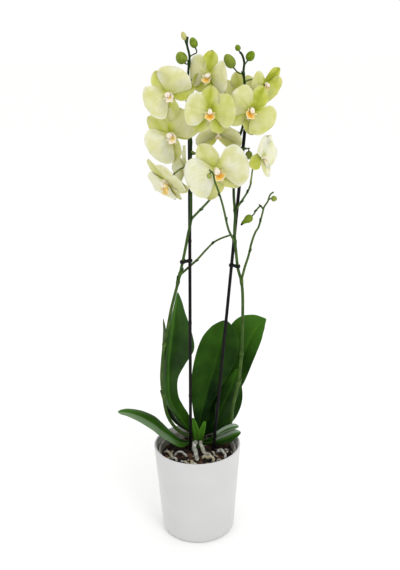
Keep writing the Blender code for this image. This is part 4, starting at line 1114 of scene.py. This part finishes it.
# The stage, in metres: how far the floor reaches, the disc lights (place, size and which setting is their
# power) with the point that they face, and the camera's place with its tilt up from straight down and its
# roll in degrees.
FLOOR_REACH = 30.0
LIGHTS = {
    "key_light": ((0.8, -1.4, 1.5), 0.9, "key"),
    "fill_light": ((-1.3, -1.0, 0.9), 1.2, "fill"),
    "back_light": ((-0.3, 1.4, 1.4), 1.0, "fill"),
}
LIGHTS_AIM = Vector((0.0, 0.0, 0.4))
CAMERA_PLACE, CAMERA_TURN, SENSOR_WIDTH = (0.0074, -1.05, 0.721), (72.47, -0.81), 36.0


class ORCHID_OT_stage(bpy.types.Operator):
    """Set the pale floor, the soft lights and the camera"""
    bl_idname = "orchid.stage"
    bl_label = "Stage"

    def execute(self, context):
        scene = context.scene
        stage = scene.orchid_stage
        mesh = bpy.data.meshes.new("studio_floor")
        corners = ((-1, -1), (1, -1), (1, 1), (-1, 1))
        mesh.from_pydata([(x * FLOOR_REACH, y * FLOOR_REACH, 0) for x, y in corners], [], [(0, 1, 2, 3)])
        mesh.materials.append(paper(in_rgba(stage, "floor")[0]))
        floor = bpy.data.objects.new("studio_floor", mesh)
        scene.collection.objects.link(floor)
        for name, (place, size, power) in LIGHTS.items():
            lamp = bpy.data.lights.new(name, "AREA")
            lamp.shape, lamp.size, lamp.energy = "DISK", size, getattr(stage, power)
            way = LIGHTS_AIM - Vector(place)
            self.put(scene, name, lamp, place, way.to_track_quat("-Z", "Y").to_matrix())
        world = scene.world or bpy.data.worlds.new("studio")
        scene.world = world
        world.use_nodes = True
        sky = world.node_tree.nodes["Background"]
        sky.inputs["Color"].default_value = rgba("#ffffff")
        sky.inputs["Strength"].default_value = stage.sky
        scene.view_settings.view_transform = "Standard"
        camera = bpy.data.cameras.new("portrait")
        camera.lens, camera.sensor_width, camera.sensor_fit = stage.lens, SENSOR_WIDTH, "AUTO"
        tilt, roll = np.radians(CAMERA_TURN)
        turn = Matrix.Rotation(tilt, 3, "X") @ Matrix.Rotation(roll, 3, "Z")
        scene.camera = self.put(scene, "portrait", camera, CAMERA_PLACE, turn)
        return {"FINISHED"}

    @staticmethod
    def put(scene, name, data, place, turn):
        """Adds a light or camera at a place with a turn."""
        holder = bpy.data.objects.new(name, data)
        scene.collection.objects.link(holder)
        holder.matrix_world = Matrix.Translation(place) @ turn.to_4x4()
        return holder


class ORCHID_OT_cover_pot(bpy.types.Operator):
    """Turn the glazed cover pot: foot, rounded lower edge, tapered wall and soft rim"""
    bl_idname = "orchid.cover_pot"
    bl_label = "Cover pot"

    def execute(self, context):
        pot = context.scene.orchid_pot
        height, rim, base, wall, floor, edge = in_mm(pot, "height", "rim_radius", "base_radius", "wall",
                                                     "floor", "edge")
        slope = (rim - base) / height
        foot, inside, straight = base - edge, 5.6, height - 2.6
        profile = [(HUB, 0.0), (foot * 0.5, 0.0), (foot - 3.0, 0.0)]
        profile += arc((foot, edge), edge, -90, -4, 12)
        profile += [(base + slope * z, z) for z in np.linspace(edge + 2, straight, 30)]
        profile += arc((rim - wall / 2 - 0.05, height - wall / 2), wall / 2, 4, 176, 12)
        outer = len(profile)
        profile += [(base + slope * z - wall, z) for z in np.linspace(straight, floor + inside + 0.4, 24)]
        corner = profile[-1][0] - inside
        profile += arc((corner, floor + inside), inside, -6, -90, 8) + [(corner * 0.5, floor), (HUB, floor)]
        # Painted light inside: from just past the rim the tone mark rises to 1, painting the inside wall near
        # white against its shade.
        painted_light_inside = ease(np.arange(len(profile)), outer - 4, outer + 6)[:, None]
        make_piece("cover_pot_glazed", [lathe(profile, 144, shade=painted_light_inside)],
                   earthenware(in_rgba(pot, "glaze")[0]), ["cover_pot"], 50)
        return {"FINISHED"}


class ORCHID_OT_nursery_pot(bpy.types.Operator):
    """Form the thin clear nursery pot with shallow ribs and a rolled rim"""
    bl_idname = "orchid.nursery_pot"
    bl_label = "Nursery pot"

    def execute(self, context):
        base = in_mm(context.scene.orchid_pot, "floor")[0] + GAP
        top, slope = base + NURSERY_HEIGHT, NURSERY_FLARE / NURSERY_HEIGHT
        profile = [(HUB, base), (40, base), (42.6, base + 0.5)]
        profile += [(NURSERY_FOOT + slope * z, base + z) for z in np.linspace(2, NURSERY_HEIGHT - 6, 30)]
        profile += [(57.2, top - 4.5), (58.4, top - 4.2), (58.6, top - 3.4), (58.6, top - 0.8),
                    (58.2, top - 0.1), (57.4, top), (56.2, top - 0.05), (55.7, top - 0.6)]
        profile += [(NURSERY_FOOT - NURSERY_WALL + slope * z, base + z)
                    for z in np.linspace(NURSERY_HEIGHT - 2, 2, 30)]
        profile += [(40, base + NURSERY_WALL), (HUB, base + NURSERY_WALL)]

        def ribs(level, angle):
            """Shallow ribs that fade out below the rim and at the foot: 0.25 cos(ribs x a)."""
            return 0.25 * np.cos(NURSERY_RIBS * angle) * ease(top - level, 6, 12) * ease(level, base, base + 4)

        make_piece("nursery_pot_clear", [lathe(profile, 192, ribs)], clouded_plastic(), ["nursery_pot"],
                   50)
        return {"FINISHED"}


class ORCHID_OT_bark(bpy.types.Operator):
    """Heap bark chips on the filled pot"""
    bl_idname = "orchid.bark"
    bl_label = "Bark"

    def execute(self, context):
        pot = context.scene.orchid_pot
        base = in_mm(pot, "floor")[0] + GAP + NURSERY_WALL + GAP
        side = [(42.0 + 0.108 * z, base + z) for z in np.linspace(0, BARK_TOP - base - 1.5, 8)]
        heap = lathe([(HUB, base), (40, base), *side, (45, BARK_TOP - 1.2), (20, BARK_TOP - 1.0),
                      (HUB, BARK_TOP - 1.0)], 48)
        make_piece("bark_chips", [heap, chips(pot.chips, pot.chip_size, pot.seed)], pine_bark(),
                   ["bark_medium"], 35)
        return {"FINISHED"}


class ORCHID_OT_roots(bpy.types.Operator):
    """Lay the aerial roots over the bark"""
    bl_idname = "orchid.roots"
    bl_label = "Aerial roots"

    def execute(self, context):
        skin = velamen()
        for number, (name, (radius, keys)) in enumerate(ROOTS.items()):
            grids = [self.root(radius * ROOT_THINNER.get(name, ROOT_USUAL), keys, number,
                               ROOT_BROWN.get(name, 0.0))]
            if name == "root_arch_left":
                grids += [self.root(size, route, 9 + place, 0.3 * (place % 2))
                          for place, (size, route) in enumerate(ROOT_BITS)]
                grids.append(self.rootlets(ROOTLETS, ROOTLET_SEED))
            make_piece(name + "_velamen", grids, skin, [name])
        return {"FINISHED"}

    @staticmethod
    def root(radius, keys, number, brown):
        """A tube that wanders 0.8 mm off its route in two slow waves, with a radius that swells and
        shrinks along it and is a little oval: r (1 + 0.09 sin + 0.03 sin + 0.07 sin(2 a))."""
        spacing = 0.8
        points = even_route(keys, spacing)
        along = np.arange(len(points))[:, None] * spacing
        side, lift = route_frame(points)
        points = points + ease(along, 0, 5) * (side * 0.8 * np.sin(along / 2.3 + number)
                                               + lift * 0.5 * np.sin(along / 1.7 + 2 * number))
        size = radius * (1 + 0.09 * np.sin(along / 4.1 + number) + 0.03 * np.sin(along / 1.4 + 2 * number)
                         + 0.07 * np.sin(2 * around(16) + along / 4 + number))
        return tube(points, size, 16, shade=brown)

    @staticmethod
    def rootlets(count, seed):
        """Thin roots half sunk in the bark: from a middle point, heading a, the point at share s is
        L (s - 0.5) ahead, bow sin(pi s) plus a small wave aside, and rise sin(pi s) - 1.5 up. Each is
        kept inside the pot and thins to its ends."""
        draw = np.random.default_rng(seed)
        place, spin, heading, length, bow, rise, radius = (
            draw.uniform(low, high, (count, 1)) for low, high in (
                (0.1, 0.8), (0, 2 * np.pi), (0, 2 * np.pi), (10, 26), (-7, 7), (1.5, 6), (0.8, 1.7)))
        s = np.linspace(0, 1, 15)
        bend = np.sin(np.pi * s)
        line = (polar(BARK_RADIUS * np.sqrt(place), spin, BARK_TOP + 0.6)
                + polar(length * (s - 0.5), heading, rise * bend - 1.5)
                + polar(bow * bend + 0.5 * np.sin(11 * s + spin), heading + np.pi / 2))
        line[..., :2] /= np.maximum(1, np.hypot(line[..., :1], line[..., 1:2]) / (BARK_RADIUS - 2.5))
        size = radius * (1 + 0.12 * np.sin(9 * s + spin)) * (1 - 0.6 * (2 * s - 1) ** 8)
        return tube(line, size, 7, shade=draw.uniform(-0.1, 0.7, (count, 1, 1)))


class ORCHID_OT_leaves(bpy.types.Operator):
    """Grow the strap leaves"""
    bl_idname = "orchid.leaves"
    bl_label = "Leaves"

    def execute(self, context):
        plant = context.scene.orchid_plant
        thickness = in_mm(plant, "leaf_thickness")[0]
        tissue = leaf_tissue(*in_rgba(plant, "leaf_dark", "leaf_light"))
        for name in LEAVES:
            grids = [blade(*leaves[name], thickness) for leaves in (LEAVES, SECOND_LEAVES) if name in leaves]
            make_piece(name + "_blade", grids, tissue, [name])
        return {"FINISHED"}


class ORCHID_OT_stem(bpy.types.Operator):
    """Stack the leaf feet round the short stem"""
    bl_idname = "orchid.stem"
    bl_label = "Stem"

    def execute(self, context):
        keys = [(*STEM_AXIS[:2], height, size) for height, size in STEM_PROFILE]
        rows = along_route(keys, np.linspace(0, 1, 30))[0]
        grids = [tube(rows[:, :3], rows[:, 3], 24, along=0.0, across=0.5, shade=1.0)]
        for number, (keys, *_, tones, _) in enumerate(LEAVES.values()):
            out = np.array(keys[1][:3]) - STEM_AXIS
            heading = np.arctan2(out[1], out[0])
            grids.append(sheath(heading, 112, keys[0][2] + 5, STEM_RADIUS + 0.35 * (number % 3), tones[0]))
        tissue = leaf_tissue(*in_rgba(context.scene.orchid_plant, "leaf_dark", "leaf_light"))
        make_piece("stem_sheaths", grids, tissue, ["stem_base"])
        return {"FINISHED"}


class ORCHID_OT_spikes(bpy.types.Operator):
    """Raise the two flower spikes with their nodes, branches and stalks"""
    bl_idname = "orchid.spikes"
    bl_label = "Flower spikes"

    def execute(self, context):
        bloom_stalk, bud_stalk = in_mm(context.scene.orchid_plant, "bloom_stalk", "bud_stalk")
        tissue = spike_tissue()
        for name, spike in SPIKES.items():
            start, end, route = spike["main"]
            swell = [(height, *NODE_SWELL) for height, _ in spike["nodes"]]
            main, marks = smooth_tube(route, start, end, 2.5, 18, swell)
            marks[..., 2] = 0.45 - 1.05 * ease(main[..., 2], *STEM_DARKENS)
            grids = [(main, marks)]
            for height, pointing in spike["nodes"]:
                point, way = route_point(route, height)
                share = (height - route[0][2]) / (route[-1][2] - route[0][2])
                length, tone = LONG_BRACT if height < BRACTS_SHORTEN else SHORT_BRACT
                grids.append(bract(point, way, pointing, start + (end - start) * share + 0.45, length, tone))
            for first, last, branch in spike["branches"]:
                thick = first * BRANCH_THICKER[0], last * BRANCH_THICKER[1]
                grids.append(smooth_tube(branch, *thick, 2.0, 12, shade=0.7))
                grids += self.joints(branch, first, last)
            for bloom, (*_, carrier, _, _) in BLOOMS.items():
                if carrier == name:
                    grids.append(self.stalk(stalk_keys(bloom, route), bloom_stalk, 1.3))
            for centre, half, _, way, carrier, stalk, _ in BUDS.values():
                if carrier == name:
                    foot_of_bud = np.array(centre, float) - unit(way) * half * 0.96
                    grids.append(self.stalk([*stalk, foot_of_bud], bud_stalk, 0.2))
            make_piece(name + "_stem", grids, tissue, [name])
        return {"FINISHED"}

    @staticmethod
    def joints(branch, first, last):
        """Small scales at each third of a side branch."""
        points = even_route(branch, 2.0)
        made = []
        for number, share in enumerate((0.34, 0.68)):
            place = int(share * (len(points) - 1))
            way = unit(points[place + 1] - points[place - 1])
            made.append(bract(points[place], way, 180 * number + 20, first + (last - first) * share + 0.15,
                              4.5, 0.2))
        return made

    @staticmethod
    def stalk(keys, radius, tone):
        """A stalk that is a little wider at its foot and swells again into the ovary below the bloom."""
        points = even_route(keys, 1.5)
        share = np.linspace(0, 1, len(points))
        return tube(points, radius * (1 + 0.35 * bell(share, 0.12) + 0.22 * ease(share, 0.55, 1.0)), 12,
                    shade=tone)


class ORCHID_OT_stakes(bpy.types.Operator):
    """Stand the stakes in the bark"""
    bl_idname = "orchid.stakes"
    bl_label = "Stakes"

    def execute(self, context):
        radius = in_mm(context.scene.orchid_plant, "stake_radius")[0]
        skin = stake_plastic()
        for name, ends in STAKES.items():
            low, high = np.array(ends, float)
            shoulder = high[2] - STAKE_TIP
            share = np.sin(np.linspace(0, 1, 9)[1:] * np.pi / 2)
            heights = np.concatenate([np.linspace(STAKE_FOOT, shoulder, 240), shoulder + STAKE_TIP * share])
            points = low + (high - low) * ((heights - low[2]) / (high[2] - low[2]))[:, None]
            size = radius + 0.5 * bell(heights[:, None] - np.array(STAKE_KNOBS), 1.6).sum(1)
            size *= np.sqrt(1 - 0.998 * np.clip((heights - shoulder) / STAKE_TIP, 0, 1) ** 2)
            make_piece(name + "_rod", [tube(points, size, 18)], skin, [name])
        return {"FINISHED"}


class ORCHID_OT_clips(bpy.types.Operator):
    """Bend the spring clips that hold each spike to its stake"""
    bl_idname = "orchid.clips"
    bl_label = "Clips"

    def execute(self, context):
        skin = clip_plastic()
        for name, (height, stake, spike) in CLIPS.items():
            low, high = np.array(STAKES[stake], float)
            here = low + (high - low) * (height - low[2]) / (high[2] - low[2])
            there = route_point(SPIKES[spike]["main"][2], height)[0]
            here[2] = there[2] = height
            gap = np.linalg.norm(there - here)
            heading = np.arctan2(*(there - here)[[1, 0]])
            span, across = polar(1.0, heading), polar(1.0, heading + np.pi / 2)
            grids = []
            for centre, size, facing in ((here, STAKE_HOOK, np.pi), (there, SPIKE_HOOK, 0.0)):
                angle = heading + facing + np.radians(np.linspace(-HOOK_TURN, HOOK_TURN, 40))
                grids.append(tube(centre + polar(size, angle), 1.0, 12, (0.6, 2.1)))
            share = np.linspace(0, 1, 20)[:, None]
            for hand in (-1, 1):
                arm = (here + span * (1.5 + (gap - 3.0) * share)
                       + across * hand * (2.6 - 1.2 * np.sin(np.pi * share)))
                grids.append(tube(arm, 0.9, 12, (0.7, 2.2)))
            tab = (here + there) / 2 + across * np.array([[-1.2], [-4.0], [-7.5], [-9.0]])
            tab[:, 2] += [0, 0.6, 1.8, 2.2]
            grids.append(tube(even_route(tab, 0.8), 1.0, 12, (2.3, 0.7)))
            make_piece(name + "_spring", grids, skin, [name])
        return {"FINISHED"}


class ORCHID_OT_blooms(bpy.types.Operator):
    """Open the blooms: petals and sepals, then the lip and column of each"""
    bl_idname = "orchid.blooms"
    bl_label = "Blooms"

    def execute(self, context):
        bloom = context.scene.orchid_bloom
        petal = petal_tissue(*in_rgba(bloom, "pale", "cream", "green", "olive"))
        lip = lip_tissue(*in_rgba(bloom, "deep", "yellow"))
        for name in BLOOMS:
            make_piece(name + "_tepals", petals_of(name), petal, [name + "_petals"])
            make_piece(name + "_throat", lip_of(name), lip, [name + "_lip"])
        return {"FINISHED"}


class ORCHID_OT_buds(bpy.types.Operator):
    """Close the buds at the ends of their stalks"""
    bl_idname = "orchid.buds"
    bl_label = "Buds"

    def execute(self, context):
        tissue = bud_tissue()
        for name, (centre, half_length, radius, way, _, _, yellow) in BUDS.items():
            parts = [spindle(centre, way, half_length, radius, 30, 22, 0.52, self.seams, shade=yellow)]
            if name == BUD_BEAK[0]:
                points = even_route(BUD_BEAK[1], 0.6)
                share = np.linspace(0, 1, len(points))
                parts.append(tube(points, np.linspace(*BEAK_RADII, len(points)), 14,
                                  shade=-ease(share, 0.45, 0.8)[:, None]))
            make_piece(name + "_closed", parts, tissue, [name])
        return {"FINISHED"}

    @staticmethod
    def seams(x, angle):
        """1 less a bell-shaped furrow at every third of the turn, and a slight taper towards the tip."""
        third = (angle * 3 / (2 * np.pi)) % 1 - 0.5
        return (1 - 0.07 * bell(third, 0.07) * ease(x, -0.9, 0.2)) * (1 - 0.10 * x)


PIECES = (
    ORCHID_OT_stage, ORCHID_OT_cover_pot, ORCHID_OT_nursery_pot, ORCHID_OT_bark, ORCHID_OT_stem,
    ORCHID_OT_roots, ORCHID_OT_leaves, ORCHID_OT_stakes, ORCHID_OT_spikes, ORCHID_OT_clips,
    ORCHID_OT_blooms, ORCHID_OT_buds,
)
SETTINGS = {
    "orchid_pot": OrchidPotSettings,
    "orchid_plant": OrchidPlantSettings,
    "orchid_bloom": OrchidBloomSettings,
    "orchid_stage": OrchidStageSettings,
}


class ORCHID_PT_panel(bpy.types.Panel):
    """Lists the settings and the steps that make the orchid"""
    bl_label = "Potted moth orchid"
    bl_idname = "ORCHID_PT_panel"
    bl_space_type = "VIEW_3D"
    bl_region_type = "UI"
    bl_category = "Orchid"

    def draw(self, context):
        for key, group in SETTINGS.items():
            box = self.layout.box()
            box.label(text=group.__doc__)
            for name in group.__annotations__:
                box.prop(getattr(context.scene, key), name)
        for piece in PIECES:
            self.layout.operator(piece.bl_idname)


def register():
    """Adds the settings, the steps and the panel to Blender."""
    for key, group in SETTINGS.items():
        bpy.utils.register_class(group)
        setattr(bpy.types.Scene, key, bpy.props.PointerProperty(type=group))
    for piece in (*PIECES, ORCHID_PT_panel):
        bpy.utils.register_class(piece)


def unregister():
    """Takes the panel, the steps and the settings out of Blender."""
    for piece in (ORCHID_PT_panel, *reversed(PIECES)):
        bpy.utils.unregister_class(piece)
    for key, group in SETTINGS.items():
        delattr(bpy.types.Scene, key)
        bpy.utils.unregister_class(group)


def main():
    """Makes the orchid step by step."""
    register()
    for piece in PIECES:
        area, step = piece.bl_idname.split(".")
        getattr(getattr(bpy.ops, area), step)()
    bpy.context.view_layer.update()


if __name__ == "__main__":
    main()
